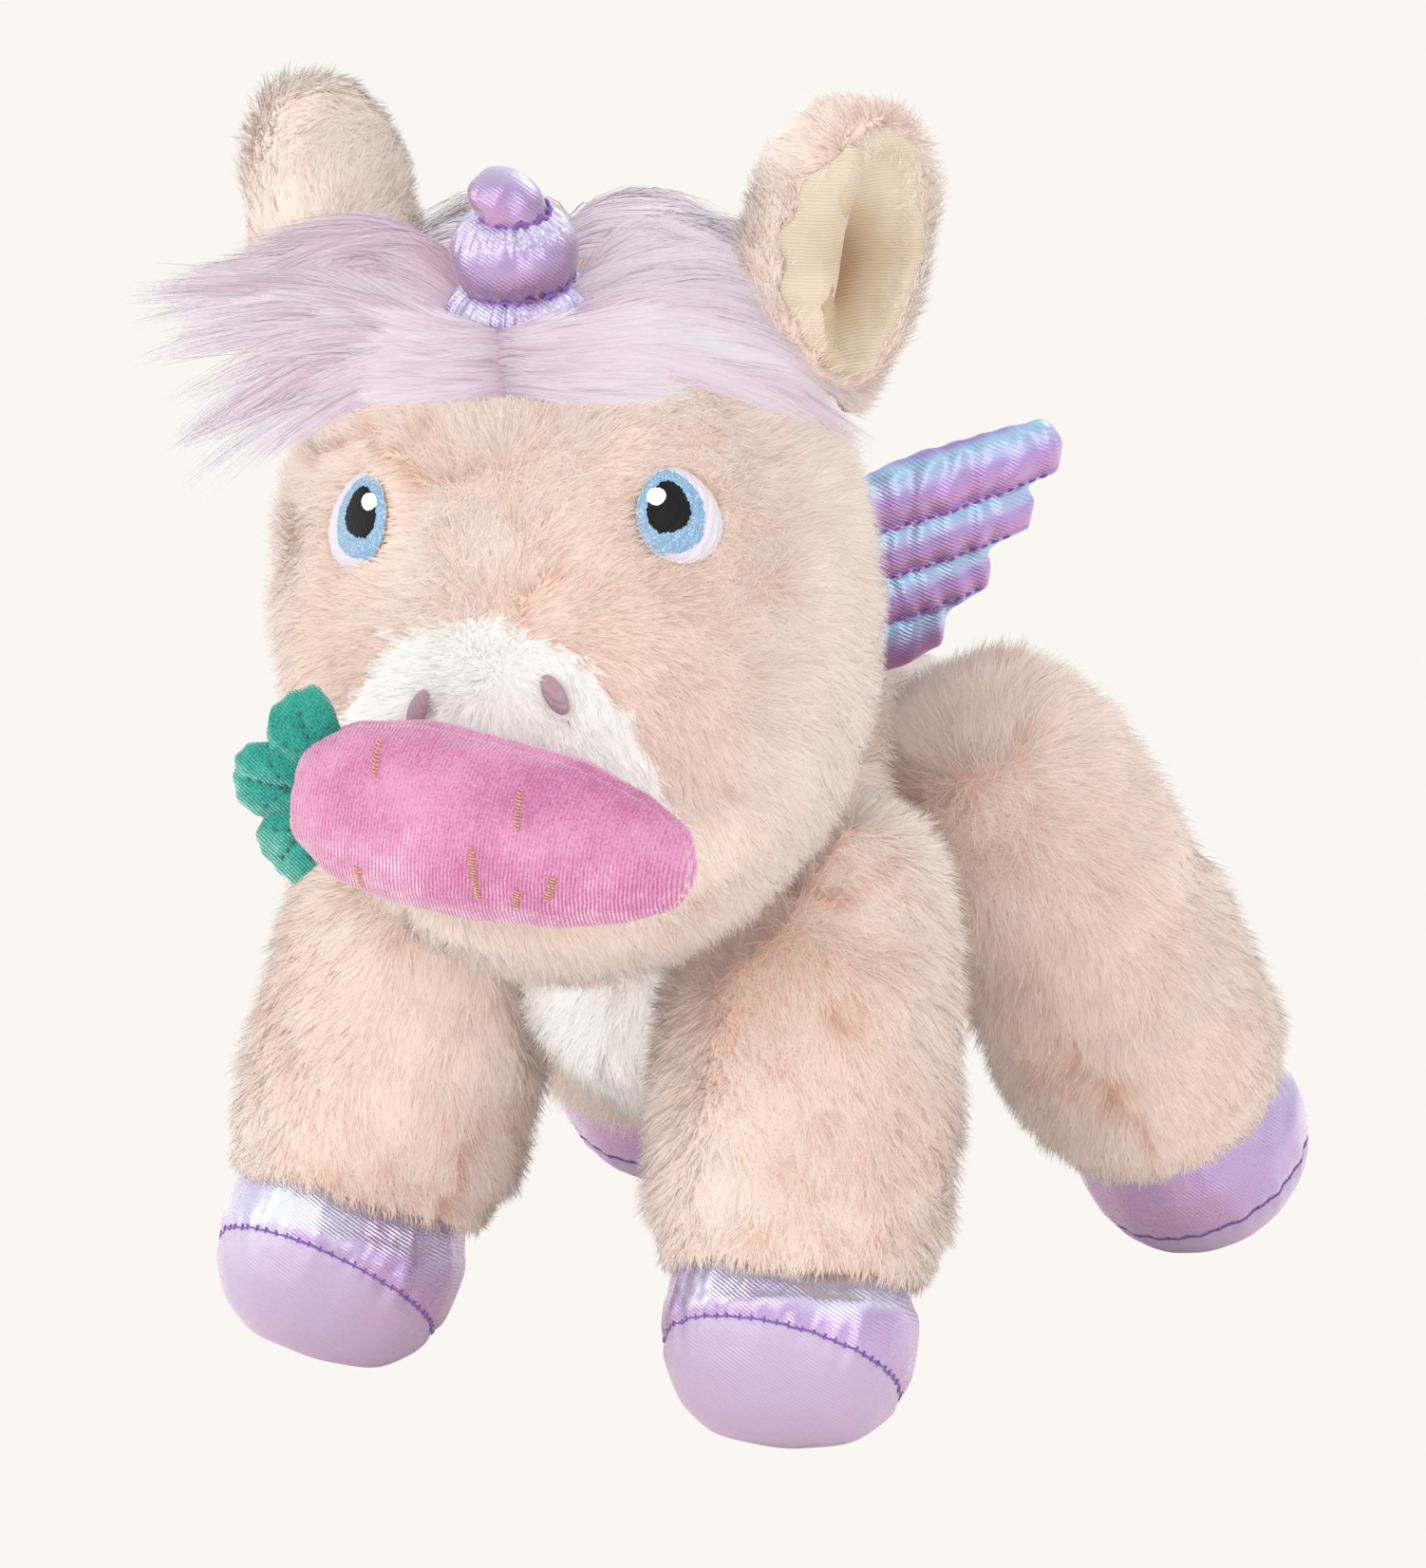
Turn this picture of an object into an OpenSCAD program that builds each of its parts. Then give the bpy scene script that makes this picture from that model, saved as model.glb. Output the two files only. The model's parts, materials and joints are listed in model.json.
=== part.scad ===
// Standing plush unicorn with a foil horn, wings and hooves, and a velvet carrot held at its mouth.
// Millimetres. The toy faces -Y, its left side is +X, and it stands on Z = 0.

/* [Plush] */
// Pile and backing together: the wall of every plush cover
plush_wall = 7; // [6:0.5:8]
// Wall of the smooth cloth of the carrot and the ear linings
cloth_wall = 2; // [1.5:0.1:3]
// Clearance between a cover and what lies inside it
fill_gap = 0.3; // [0.2:0.1:0.6]
// Clearance between pieces that move against each other
move_gap = 0.6; // [0.4:0.1:1]
// Depth that a hoof is flattened where it stands
floor_trim = 0.8; // [0.5:0.1:1.2]

/* [Torso] */
// Length from chest to rump
torso_len = 158; // [150:1:166]
// Width across the flanks
torso_w = 84; // [78:1:90]
// Height from belly to back
torso_h = 98; // [92:1:102]
// Height of the torso's middle above the floor
torso_z = 93; // [90:1:96]
// Height of the pale belly panel's seam above the floor, halfway along the torso
belly_seam_z = 94; // [88:1:98]

/* [Head] */
// Width across the cheeks
head_w = 122; // [116:1:128]
// Height from chin to crown
head_h = 152; // [146:1:158]
// Depth from the head's middle to the brow
head_front = 62; // [58:1:66]
// Distance of the head's middle in front of the torso's middle
head_reach = 88; // [85:1:91]
// Distance of the head's middle to the toy's left
head_x = 3; // [0:1:6]
// Height of the head's middle above the floor
head_z = 173; // [169:1:177]
// Turn of the head towards the toy's left at rest
head_turn = 15; // [8:1:20]
// Tilt of the head towards the toy's right at rest
head_roll = 2.5; // [0:0.5:5]
// Width of the opening where the head is sewn to the torso
neck_w = 48; // [40:1:54]
// Width of the pale muzzle panel
muzzle_w = 76; // [68:1:84]
// Height of the pale muzzle panel
muzzle_h = 84; // [74:1:92]
// Height of the muzzle panel's middle below the head's middle
muzzle_drop = 31; // [28:1:36]

/* [Face] */
// Height of an embroidered eye
eye_h = 19; // [16:1:22]
// Width of an embroidered eye
eye_w = 19; // [16:1:22]
// Depth of the trimmed pile round an eye or a nostril
eye_sink = 4; // [3:0.5:4.5]
// Thickness of one layer of embroidery
stitch_t = 0.6; // [0.4:0.1:0.8]
// Height of a nostril
nostril_h = 8; // [6:0.5:10]
// Width of a nostril
nostril_w = 4.5; // [3:0.5:6]

/* [Ears] */
// Height of an ear with its sewn-in foot
ear_h = 76; // [68:1:82]
// Width of an ear
ear_w = 45; // [40:1:50]
// Thickness of an ear
ear_t = 30; // [26:1:33]
// Width of the lined hollow
cup_w = 26; // [22:1:27]

/* [Horn and mane] */
// Height of the horn
horn_h = 36; // [32:1:40]
// Width of the horn's lowest tier
horn_w = 31; // [28:1:34]
// Thickness of the long pile of the mane
mane_t = 13; // [10:1:15]
// Length of one swept half of the forelock
forelock_len = 84; // [76:1:92]

/* [Wings] */
// Length of the longest feather
feather_len = 56; // [50:1:62]
// Width of a feather
feather_w = 17; // [15:0.5:19]
// Thickness of a padded feather
feather_t = 9; // [7:0.5:11]

/* [Legs] */
// Width of a leg
leg_w = 62; // [59:1:65]
// Distance between the left and right front hips
front_hip_w = 90; // [84:1:96]
// Distance between the left and right rear hips
rear_hip_w = 99; // [93:1:105]
// Distance of the front hips in front of the torso's middle
front_hip_reach = 60; // [57:1:63]
// Distance of the rear hips behind the torso's middle
rear_hip_reach = 17; // [14:1:20]
// Height of the front hips above the floor
front_hip_z = 109; // [105:1:113]
// Height of the rear hips above the floor
rear_hip_z = 117; // [113:1:121]
// Width of a hoof
hoof_w = 54; // [50:1:56]
// Height of a hoof below its hem
hoof_h = 31; // [28:1:34]
// Height of the sole seam above the sole
hoof_seam = 15.5; // [13:0.5:18]
// Forward slope of the front legs
front_lean = 20; // [16:1:24]
// Backward slope of the rear legs
rear_lean = 33; // [29:1:35]

/* [Tail and carrot] */
// Length of the tail
tail_len = 78; // [66:1:84]
// Width of the tail
tail_w = 30; // [26:1:34]
// Length of the carrot without its leaves
carrot_len = 84; // [78:1:90]
// Width of the carrot
carrot_w = 37; // [34:1:40]
// Depth of the carrot
carrot_t = 34; // [30:1:38]
// Diameter of a holding magnet
magnet_d = 15; // [11:0.5:17]
// Thickness of a holding magnet
magnet_t = 3; // [2:0.5:4]

/* [Travel] */
// Turn of the head each way
neck_swing = 12; // [6:1:15]
// Fold of an ear each way
ear_swing = 12; // [6:1:15]
// Flap of a wing each way
wing_swing = 15; // [8:1:20]
// Swing of a leg each way
leg_swing = 8; // [4:1:10]
// Lift of the tail
tail_swing = 40; // [20:1:50]

/* [Hidden] */

PINK = "#f0cfc4";
WHITE = "#f8f2ea";
FILL = "#fdfdf8";
FOIL = "#c9a8d8";
MANE = "#e6c6dd";
STEEL = "#8a8d92";
SIDES = 18;
RINGS = 10;
LIMB_SIDES = 14;
LIMB_RINGS = 8;
FEW_SIDES = 12;
SMALL_SIDES = 10;
SMALL_RINGS = 6;
BIG = 700;
SOFT = 0.6;
FIRM = 0.5;

// Unit vector of v
function unit(v) = v / norm(v);
// Frame with the axes x, y, z at the point p
function frame(x, y, z, p) = [[x.x, y.x, z.x, p.x], [x.y, y.y, z.y, p.y], [x.z, y.z, z.z, p.z], [0, 0, 0, 1]];
// Frame at p whose Z is up and whose -Y looks as near to face as it can
function facing(up, face, p) =
    let (z = unit(up), y = -unit(face - (face * z) * z))
    frame(cross(y, z), y, z, p);
// Point p of the frame m
function spot(m, p) = let (q = m * [p.x, p.y, p.z, 1]) [q.x, q.y, q.z];
// Direction v of the frame m
function heading(m, v) = spot(m, v) - spot(m, [0, 0, 0]);
// Frame turned about Z at the point p, and one turned about Y
function turned_z(angle, p) = frame([cos(angle), sin(angle), 0], [-sin(angle), cos(angle), 0], [0, 0, 1], p);
function turned_y(angle, p) = frame([cos(angle), 0, -sin(angle)], [0, 1, 0], [sin(angle), 0, cos(angle)], p);

// Copies of the children turned about an axis through p, one for each angle
module about(p, axis, angles)
    for (angle = angles)
        translate(p) rotate(a = angle, v = axis) translate(-p) children();

// Row list read at s from 0 to 1, on a smooth curve through the rows
function along(rows, s) =
    let (n = len(rows) - 1, k = min(floor(s * n), n - 1), f = s * n - k,
         a = rows[max(k - 1, 0)], b = rows[k], c = rows[k + 1], d = rows[min(k + 2, n)])
    b + 0.5 * f * (c - a + f * (2 * a - 5 * b + 4 * c - d + f * (3 * (b - c) + d - a)));

// Point of a stuffed form at height share s and bearing phi. A row holds the width, front,
// back, sideways shift and backward shift there, as shares of a plain egg.
function form_point(half, rows, blunt, inset, s, phi) =
    let (lift = 180 * s - 90, row = along(rows, s), r = pow(max(cos(lift), 0), blunt),
         hx = max(half.x * row[0] * r - inset, 0.2),
         hy = max(half.y * row[sin(phi) < 0 ? 1 : 2] * r - inset, 0.2))
    [hx * cos(phi) + row[3] * half.x, hy * sin(phi) + row[4] * half.y, (half.z - inset) * sin(lift)];

// Closed skin over a stack of rings, with a point below the first and above the last
module skin(rings, bottom, top) {
    sides = len(rings[0]);
    count = len(rings);
    last = 1 + sides * count;
    function at(i, j) = 1 + i * sides + j % sides;
    points = concat([bottom], [for (ring = rings, p = ring) p], [top]);
    faces = concat(
        [for (j = [0:sides - 1]) [0, at(0, j), at(0, j + 1)]],
        [for (i = [0:count - 2], j = [0:sides - 1]) [at(i, j), at(i + 1, j), at(i + 1, j + 1)]],
        [for (i = [0:count - 2], j = [0:sides - 1]) [at(i, j), at(i + 1, j + 1), at(i, j + 1)]],
        [for (j = [0:sides - 1]) [last, at(count - 1, j + 1), at(count - 1, j)]]);
    polyhedron(points, faces);
}

// Stuffed form along local Z: it swells and tapers by its rows, and its ends are round
module stuffed(half, rows, blunt = 1, inset = 0, sides = SIDES, rings = RINGS)
    skin([for (i = [1:rings - 1]) [for (j = [0:sides - 1])
             form_point(half, rows, blunt, inset, i / rings, 360 * j / sides)]],
         form_point(half, rows, blunt, inset, 0, 0), form_point(half, rows, blunt, inset, 1, 0));

// Egg outline, narrower at the top by the share taper
module egg(w, h, taper = 0)
    polygon([for (a = [0:15:345]) [w / 2 * cos(a) * (1 - taper * sin(a)), h / 2 * sin(a)]]);

// Torso

// The torso's middle is set back, so that the whole toy is centred over the origin
TORSO_Y = 37.5;
PLAIN_ROWS = [[1, 1, 1, 0, 0], [1, 1, 1, 0, 0], [1, 1, 1, 0, 0]];
TORSO_HALF = [torso_w, torso_h, torso_len] / 2;
TORSO_BLUNT = 0.6;
TORSO_ROWS = [[0.9, 0.9, 0.9, 0, 0], [0.95, 0.9, 0.95, 0, 0], [0.95, 0.95, 0.95, 0, 0],
              [1, 1, 1, 0, 0], [0.95, 1, 0.95, 0, 0]];

module torso_form(inset = 0)
    translate([0, TORSO_Y, torso_z]) rotate([-90, 0, 0]) stuffed(TORSO_HALF, TORSO_ROWS, TORSO_BLUNT, inset);

module torso_shell() difference() {
    torso_form();
    torso_form(plush_wall);
    head_room();
}

BELLY_SLOPE = 8;

// Space under the belly panel's seam, which runs down towards the rump
module belly_seam()
    translate([0, TORSO_Y, belly_seam_z]) rotate([-BELLY_SLOPE, 0, 0])
        translate([-BIG / 2, -BIG / 2, -BIG]) cube(BIG);

module torso_cover() color(PINK) difference() {
    torso_shell();
    belly_seam();
}

module belly_panel() color(WHITE) intersection() {
    torso_shell();
    belly_seam();
}

module torso_fill() color(FILL) difference() {
    torso_form(plush_wall + fill_gap);
    head_room();
}

// Head

HEAD = turned_z(head_turn, [head_x, TORSO_Y - head_reach, head_z]) * turned_y(-head_roll, [0, 0, 0]);
HEAD_HALF = [head_w / 2, head_front, head_h / 2];
HEAD_BLUNT = 0.8;
// The back of the head is as deep as it is wide, so that it turns freely in the torso's hollow
function head_row(width, front) = [width, front, width * head_w / 2 / head_front, 0, 0];
HEAD_ROWS = [head_row(0.82, 1.05), head_row(0.97, 1.14), head_row(1, 1), head_row(0.97, 0.96),
             head_row(0.9, 0.88)];

module head_form(inset = 0, sides = SIDES)
    multmatrix(HEAD) stuffed(HEAD_HALF, HEAD_ROWS, HEAD_BLUNT, inset, sides);

// Space that the head needs as it turns: with more sides, its flats clear the head's corners
module head_room() head_form(-move_gap, 2 * SIDES);

// Point on the head at height share s and bearing phi, and the frame that stands on it there
function head_point(s, phi) = form_point(HEAD_HALF, HEAD_ROWS, HEAD_BLUNT, 0, s, phi);
function head_normal(s, phi) =
    unit(cross(head_point(s, phi + 2) - head_point(s, phi - 2),
               head_point(s + 0.01, phi) - head_point(s - 0.01, phi)));
function head_seat(s, phi) =
    let (z = head_normal(s, phi), y = unit([0, 0, 1] - z.z * z))
    HEAD * frame(cross(y, z), y, z, head_point(s, phi));

module head_shell() difference() {
    head_form();
    head_form(plush_wall);
}

MUZZLE_SHIFT = -4;
MUZZLE_TAPER = 0.1;
NECK_TILT = 130;

// Prism through the face whose sides are the muzzle panel's seam
module muzzle_seam()
    multmatrix(HEAD) translate([MUZZLE_SHIFT, 0, -muzzle_drop]) rotate([90, 0, 0]) linear_extrude(BIG)
        egg(muzzle_w, muzzle_h, MUZZLE_TAPER);

module neck_opening()
    multmatrix(HEAD) rotate([-NECK_TILT, 0, 0]) cylinder(h = BIG, d = neck_w, $fn = FEW_SIDES);

module head_cover() color(PINK) difference() {
    head_shell();
    muzzle_seam();
    neck_opening();
    eye_pockets();
}

module muzzle_panel() color(WHITE) difference() {
    intersection() {
        head_shell();
        muzzle_seam();
    }
    nostril_pockets();
}

module head_fill() color(FILL) difference() {
    head_form(plush_wall + fill_gap);
    at_mouth_magnet() cylinder(h = BIG, d = magnet_d + 2 * fill_gap);
}

// Face

// The face sits a little askew, as sewn: each pair holds the right and the left side
EYE_S = [0.615, 0.62];
EYE_BEARING = [35, 39];
NOSTRIL_S = [0.46, 0.475];
NOSTRIL_BEARING = [16, 12];
NOSTRIL_LEAN = 20;
EYE_TAPER = 0.12;
IRIS = 0.8;
PUPIL = [0.5, 0.56];
PUPIL_TAPER = 0.2;
GLINT = [0.18, 0.14];
GLINT_AT = [-0.1, 0.12];

module at_eyes() for (i = [0, 1])
    multmatrix(head_seat(EYE_S[i], -90 + (2 * i - 1) * EYE_BEARING[i])) children();

module at_nostrils() for (i = [0, 1])
    multmatrix(head_seat(NOSTRIL_S[i], -90 + (2 * i - 1) * NOSTRIL_BEARING[i]))
        rotate([0, 0, (2 * i - 1) * NOSTRIL_LEAN]) children();

// One flat layer of embroidery, counted up from the floor of its pocket
module layer(count) translate([0, 0, -eye_sink + count * stitch_t]) linear_extrude(stitch_t) children();

module eye_pockets() at_eyes() translate([0, 0, -eye_sink]) linear_extrude(BIG) egg(eye_w, eye_h, EYE_TAPER);
module nostril_pockets()
    at_nostrils() translate([0, 0, -eye_sink]) linear_extrude(BIG) egg(nostril_w, nostril_h);

module eye_whites() color("white") at_eyes() layer(0) egg(eye_w, eye_h, EYE_TAPER);
module eye_irises() color("#6f93c8") at_eyes() layer(1) egg(eye_w * IRIS, eye_h * IRIS, EYE_TAPER);
module eye_pupils() color("#1c2030") at_eyes() layer(2) egg(eye_w * PUPIL.x, eye_h * PUPIL.y, PUPIL_TAPER);
module eye_glints() color("white") at_eyes() layer(3)
    translate([eye_w * GLINT_AT.x, eye_h * GLINT_AT.y]) egg(eye_w * GLINT.x, eye_h * GLINT.y);
module nostrils() color("#c08fa0") at_nostrils() layer(0) egg(nostril_w, nostril_h);

// Horn: three gathered tiers, the last leaning over

HORN_S = 0.84;
HORN_FORWARD = 14;
HORN_DROP = 2;
HORN = HEAD * facing([0, -sin(HORN_FORWARD), cos(HORN_FORWARD)], [0, -1, 0],
                     head_point(HORN_S, -90) - [0, 0, HORN_DROP]);
HORN_TIERS = [[0, 1], [0.26, 0.78], [0.76, 0.46]];
HORN_LEAN = 4;
HORN_SINK = 6;
TIER_STEPS = [0.1, 0.35, 0.65, 0.9];
TIER_NECK = 0.55;

function horn_ring(z, r, shift) = [for (j = [0:LIMB_SIDES - 1])
    [r * cos(360 * j / LIMB_SIDES) + shift, r * sin(360 * j / LIMB_SIDES), z]];
function tier_top(i) = i < len(HORN_TIERS) - 1 ? HORN_TIERS[i + 1][0] : 1;

module horn_form() {
    rings = [for (i = [0:len(HORN_TIERS) - 1], u = TIER_STEPS)
        let (t = HORN_TIERS[i][0] + u * (tier_top(i) - HORN_TIERS[i][0]),
             swell = TIER_NECK + (1 - TIER_NECK) * sin(180 * u))
        horn_ring(t * horn_h, horn_w / 2 * HORN_TIERS[i][1] * swell, -HORN_LEAN * pow(t, 3))];
    skin(rings, [0, 0, -HORN_SINK], [-HORN_LEAN, 0, horn_h]);
}

module horn() color(FOIL) difference() {
    multmatrix(HORN) horn_form();
    head_form(-fill_gap);
}

// Mane

FORELOCK_W = 38;
FORELOCK_DIP = 12;
FORELOCK_S = 0.785;
FORELOCK_BEARING = 42;
FORELOCK_ROWS = [[0.6, 1, 1, 0, -1.6], [0.95, 1, 1, 0, -0.5], [1, 1, 1, 0, -0.2], [1, 1, 1, 0, -0.6],
                 [0.9, 1, 1, 0, -1.6]];

// Half of the forelock: it lies on the brow and sweeps aside and a little down
module forelock_half(side)
    multmatrix(head_seat(FORELOCK_S, -90 + side * FORELOCK_BEARING))
        rotate([0, 0, side * (90 - FORELOCK_DIP)]) rotate([90, 0, 0])
            stuffed([FORELOCK_W / 2, mane_t, forelock_len / 2], FORELOCK_ROWS, SOFT, 0,
                    LIMB_SIDES, LIMB_RINGS);

module forelock() color(MANE) difference() {
    for (side = [-1, 1]) forelock_half(side);
    head_form(-fill_gap);
    multmatrix(HORN) horn_form();
    for (side = [-1, 1]) ear_folded(side) ear_form(side, -3 * move_gap);
}

CREST_W = 30;
CREST_LEN = 96;
CREST_TILT = -30;
CREST_T = 0.4;

// Strip of long pile from the crown to the nape
module mane_crest() color(MANE) difference() {
    intersection() {
        head_form(-mane_t * CREST_T);
        multmatrix(HEAD) rotate([CREST_TILT, 0, 0]) linear_extrude(BIG) egg(CREST_W, CREST_LEN);
    }
    head_form(-fill_gap);
    multmatrix(HORN) horn_form();
}

// Ears

EAR_S = [0.73, 0.71];
EAR_BEARING = 100;
EAR_FACE = [104, 52];
EAR_OUT = [8, 14];
EAR_FOOT = 16;
CUP = 0.72;
EAR_ROWS = [[0.7, 0.7, 0.7, 0, 0], [0.86, 0.9, 0.9, 0, 0], [1, 1, 1, 0, 0], [1, 0.95, 0.95, 0, 0],
            [0.9, 0.8, 0.8, 0, 0]];

function ear_frame(side) =
    let (i = side < 0 ? 0 : 1)
    HEAD * facing([side * sin(EAR_OUT[i]), 0, cos(EAR_OUT[i])], [side * sin(EAR_FACE[i]), -cos(EAR_FACE[i]), 0],
                  head_point(EAR_S[i], -90 + side * EAR_BEARING));

module ear_form(side, inset = 0)
    multmatrix(ear_frame(side)) translate([0, 0, ear_h / 2 - EAR_FOOT])
        stuffed([ear_w, ear_t, ear_h] / 2, EAR_ROWS, SOFT, inset, LIMB_SIDES, LIMB_RINGS);

module ear_cup(side, inset = 0)
    multmatrix(ear_frame(side)) translate([0, -ear_t / 2, (ear_h - EAR_FOOT) / 2])
        stuffed([cup_w, ear_t * CUP, ear_h * CUP] / 2, PLAIN_ROWS, SOFT, inset, LIMB_SIDES, LIMB_RINGS);

// Copies of the children at both ends and in the middle of the ear's fold
module ear_folded(side)
    about(spot(ear_frame(side), [0, 0, 0]), heading(ear_frame(side), [1, 0, 0]), [-ear_swing, 0, ear_swing])
        children();

module ear_back(side) color(PINK) difference() {
    ear_form(side);
    ear_cup(side);
    ear_folded(side) head_form(-move_gap);
}

module ear_lining(side) color("#f3e3c4") difference() {
    intersection() {
        ear_form(side);
        ear_cup(side, fill_gap);
    }
    ear_cup(side, cloth_wall + fill_gap);
}

// Wings

WING_ROOT_X = 10;
WING_OUT = 40;
WING_LEAN = 12;
// Each feather's length and its height on the root, as shares of the longest feather
FEATHERS = [[1, 0.64], [0.9, 0.43], [0.73, 0.23], [0.55, 0.05]];
// Thickness and length of the quilted cloth between two feathers, as shares of a feather's
WEB_T = 0.66;
WEB_LEN = 0.85;
FEATHER_SLOPE = 15;
FEATHER_BLUNT = 0.38;
ROOT_LEN = 48;
ROOT_RISE = 15;
ROOT_W = 0.55;
FEATHER_ROWS = [[0.8, 0.7, 0.7, 0, 0], [1, 1, 1, 0, 0], [1, 1, 1, 0, 0], [1, 0.8, 0.8, 0, 0]];

function wing_root(side) = [side * WING_ROOT_X, TORSO_Y, torso_z + torso_h / 2];
function wing_frame(side) =
    facing([side * sin(WING_LEAN) * cos(WING_OUT), -sin(WING_LEAN) * sin(WING_OUT), cos(WING_LEAN)],
           [side * cos(WING_OUT), -sin(WING_OUT), 0], wing_root(side));

module feather(i, thick = 1, share = 1) {
    length = FEATHERS[i][0] * feather_len * share;
    translate([0, 0, FEATHERS[i][1] * feather_len]) rotate([0, 90 - FEATHER_SLOPE, 0])
        translate([0, 0, length / 2])
            stuffed([feather_w, feather_t * thick, length] / 2, FEATHER_ROWS, FEATHER_BLUNT, 0,
                    SMALL_SIDES, SMALL_RINGS);
}

module wing_form(side)
    multmatrix(wing_frame(side)) mirror([side < 0 ? 1 : 0, 0, 0]) {
        for (i = [0:len(FEATHERS) - 1]) feather(i);
        for (i = [1:len(FEATHERS) - 1]) hull() {
            feather(i - 1, WEB_T, WEB_LEN);
            feather(i, WEB_T, WEB_LEN);
        }
        translate([0, 0, ROOT_RISE])
            stuffed([2 * feather_w * ROOT_W, feather_t, ROOT_LEN] / 2, PLAIN_ROWS, FIRM, 0,
                    SMALL_SIDES, SMALL_RINGS);
    }

module wing(side) color(FOIL) difference() {
    wing_form(side);
    about(wing_root(side), heading(wing_frame(side), [1, 0, 0]), [-wing_swing, 0, wing_swing])
        torso_form(-move_gap);
}

// Legs: front left, front right, rear left, rear right, each as its hip, forward slope, splay and shoulder

// The rear right leg stands this much steeper than the left one
REAR_STEP = 5;
// Each pair of hips: width, distance behind the torso's middle, height, forward slope of the left and the
// right leg, splay, and the height of the shoulder over the hip
HIPS = [[front_hip_w, -front_hip_reach, front_hip_z, front_lean, front_lean, 7, 21],
        [rear_hip_w, rear_hip_reach, rear_hip_z, -rear_lean, REAR_STEP - rear_lean, 9.8, 28]];
LEGS = [for (h = HIPS, side = [1, -1])
    [[side * h[0] / 2, TORSO_Y + h[1], h[2]], side > 0 ? h[3] : h[4], side * h[5], h[6]]];
LEG_TUCK = 20;
LEG_BLUNT = 0.42;
LEG_ROWS = [[1, 1, 1, 0, 0], [1.04, 1.04, 1.04, 0, 0], [1, 1, 1, 0, 0], [1, 1, 1, 0, 0], [1, 1, 1, 0, 0]];
HOOF_HALF = [hoof_w, hoof_w, hoof_h + LEG_TUCK] / 2;
HOOF_BLUNT = 0.62;
// Rise of each hoof's sole seam towards the front
SEAM_TILT = [20, 20, 0, 0];

function hip(k) = LEGS[k][0];
function leg_up(k) = unit([-tan(LEGS[k][2]), tan(LEGS[k][1]), 1]);
function leg_at(k, p) = facing(leg_up(k), [0, -1, 0], p);
function hoof_point(s, phi) = form_point(HOOF_HALF, PLAIN_ROWS, HOOF_BLUNT, 0, s, phi) + [0, 0, HOOF_HALF.z];
function hoof_low(k) = min([for (i = [0:LIMB_RINGS], j = [0:LIMB_SIDES - 1])
    spot(leg_at(k, [0, 0, 0]), hoof_point(i / LIMB_RINGS, 360 * j / LIMB_SIDES)).z]);
// Length from hip to sole that sets the hoof on the floor
function leg_len(k) = (hip(k).z + hoof_low(k) + floor_trim) / leg_up(k).z;
function leg_frame(k) = leg_at(k, hip(k) - leg_up(k) * leg_len(k));

module leg_form(k, inset = 0) {
    half = (leg_len(k) + LEGS[k][3] - hoof_h + LEG_TUCK) / 2;
    multmatrix(leg_frame(k)) translate([0, 0, hoof_h - LEG_TUCK + half])
        stuffed([leg_w / 2, leg_w / 2, half], LEG_ROWS, LEG_BLUNT, inset, LIMB_SIDES, LIMB_RINGS);
}

module hoof_form(k)
    multmatrix(leg_frame(k)) translate([0, 0, HOOF_HALF.z])
        stuffed(HOOF_HALF, PLAIN_ROWS, HOOF_BLUNT, 0, LIMB_SIDES, LIMB_RINGS);

// Slice of the leg's own space between two heights
module leg_slice(k, low, high)
    multmatrix(leg_frame(k)) translate([-BIG / 2, -BIG / 2, low]) cube([BIG, BIG, high - low]);

// Torso and head, as the swinging leg meets them
module leg_room(k) {
    about(hip(k), [1, 0, 0], leg_swing * [-1, -0.35, 0.35, 1]) torso_form(-move_gap);
    if (hip(k).y < TORSO_Y)
        about(hip(k), [1, 0, 0], leg_swing * [-1, 1])
            about(spot(HEAD, [0, 0, 0]), heading(HEAD, [0, 0, 1]), neck_swing * [-1, 1])
                head_form(-2 * move_gap);
}

module leg_cover(k) color(PINK) difference() {
    leg_form(k);
    leg_form(k, plush_wall);
    leg_slice(k, -BIG, hoof_h);
    leg_room(k);
}

module leg_fill(k) color(FILL) difference() {
    leg_form(k, plush_wall + fill_gap);
    leg_slice(k, -BIG, hoof_h);
    leg_room(k);
}

// Space below the sole seam
module under_seam(k)
    multmatrix(leg_frame(k)) translate([0, 0, hoof_seam]) rotate([-SEAM_TILT[k], 0, 0])
        translate([-BIG / 2, -BIG / 2, -BIG]) cube(BIG);

module hoof(k) color(FOIL) difference() {
    hoof_form(k);
    leg_slice(k, hoof_h, BIG);
    under_seam(k);
}

module sole(k) color("#b796cc") difference() {
    intersection() {
        hoof_form(k);
        under_seam(k);
    }
    translate([-BIG / 2, -BIG / 2, -BIG]) cube(BIG);
}

// Tail

TAIL_SLOPE = 28;
TAIL_SINK = 6;
TAIL_RISE = 20;
TAIL_ROOT = [0, TORSO_Y + torso_len / 2 - TAIL_SINK, torso_z + TAIL_RISE];
TAIL_ROWS = [[0.8, 0.8, 0.8, 0, 0], [1.05, 1.05, 1.05, 0, 0], [1, 1, 1, 0, 0], [0.6, 0.6, 0.6, 0, 0],
             [0.4, 0.4, 0.4, 0, 0]];

module tail() color(MANE) difference() {
    translate(TAIL_ROOT) rotate([TAIL_SLOPE, 0, 0]) translate([0, 0, -tail_len / 2 + tail_w / 3])
        stuffed([tail_w, tail_w, tail_len] / 2, TAIL_ROWS, SOFT, 0, LIMB_SIDES, LIMB_RINGS);
    about(TAIL_ROOT, [1, 0, 0], [-tail_swing, -tail_swing / 2, 0]) torso_form(-move_gap);
}

// Carrot, held at the mouth by a pair of magnets

MOUTH_S = 0.377;
MOUTH = head_seat(MOUTH_S, -90);
CARROT_TILT = 11;
CARROT_SHIFT = 4;
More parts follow.
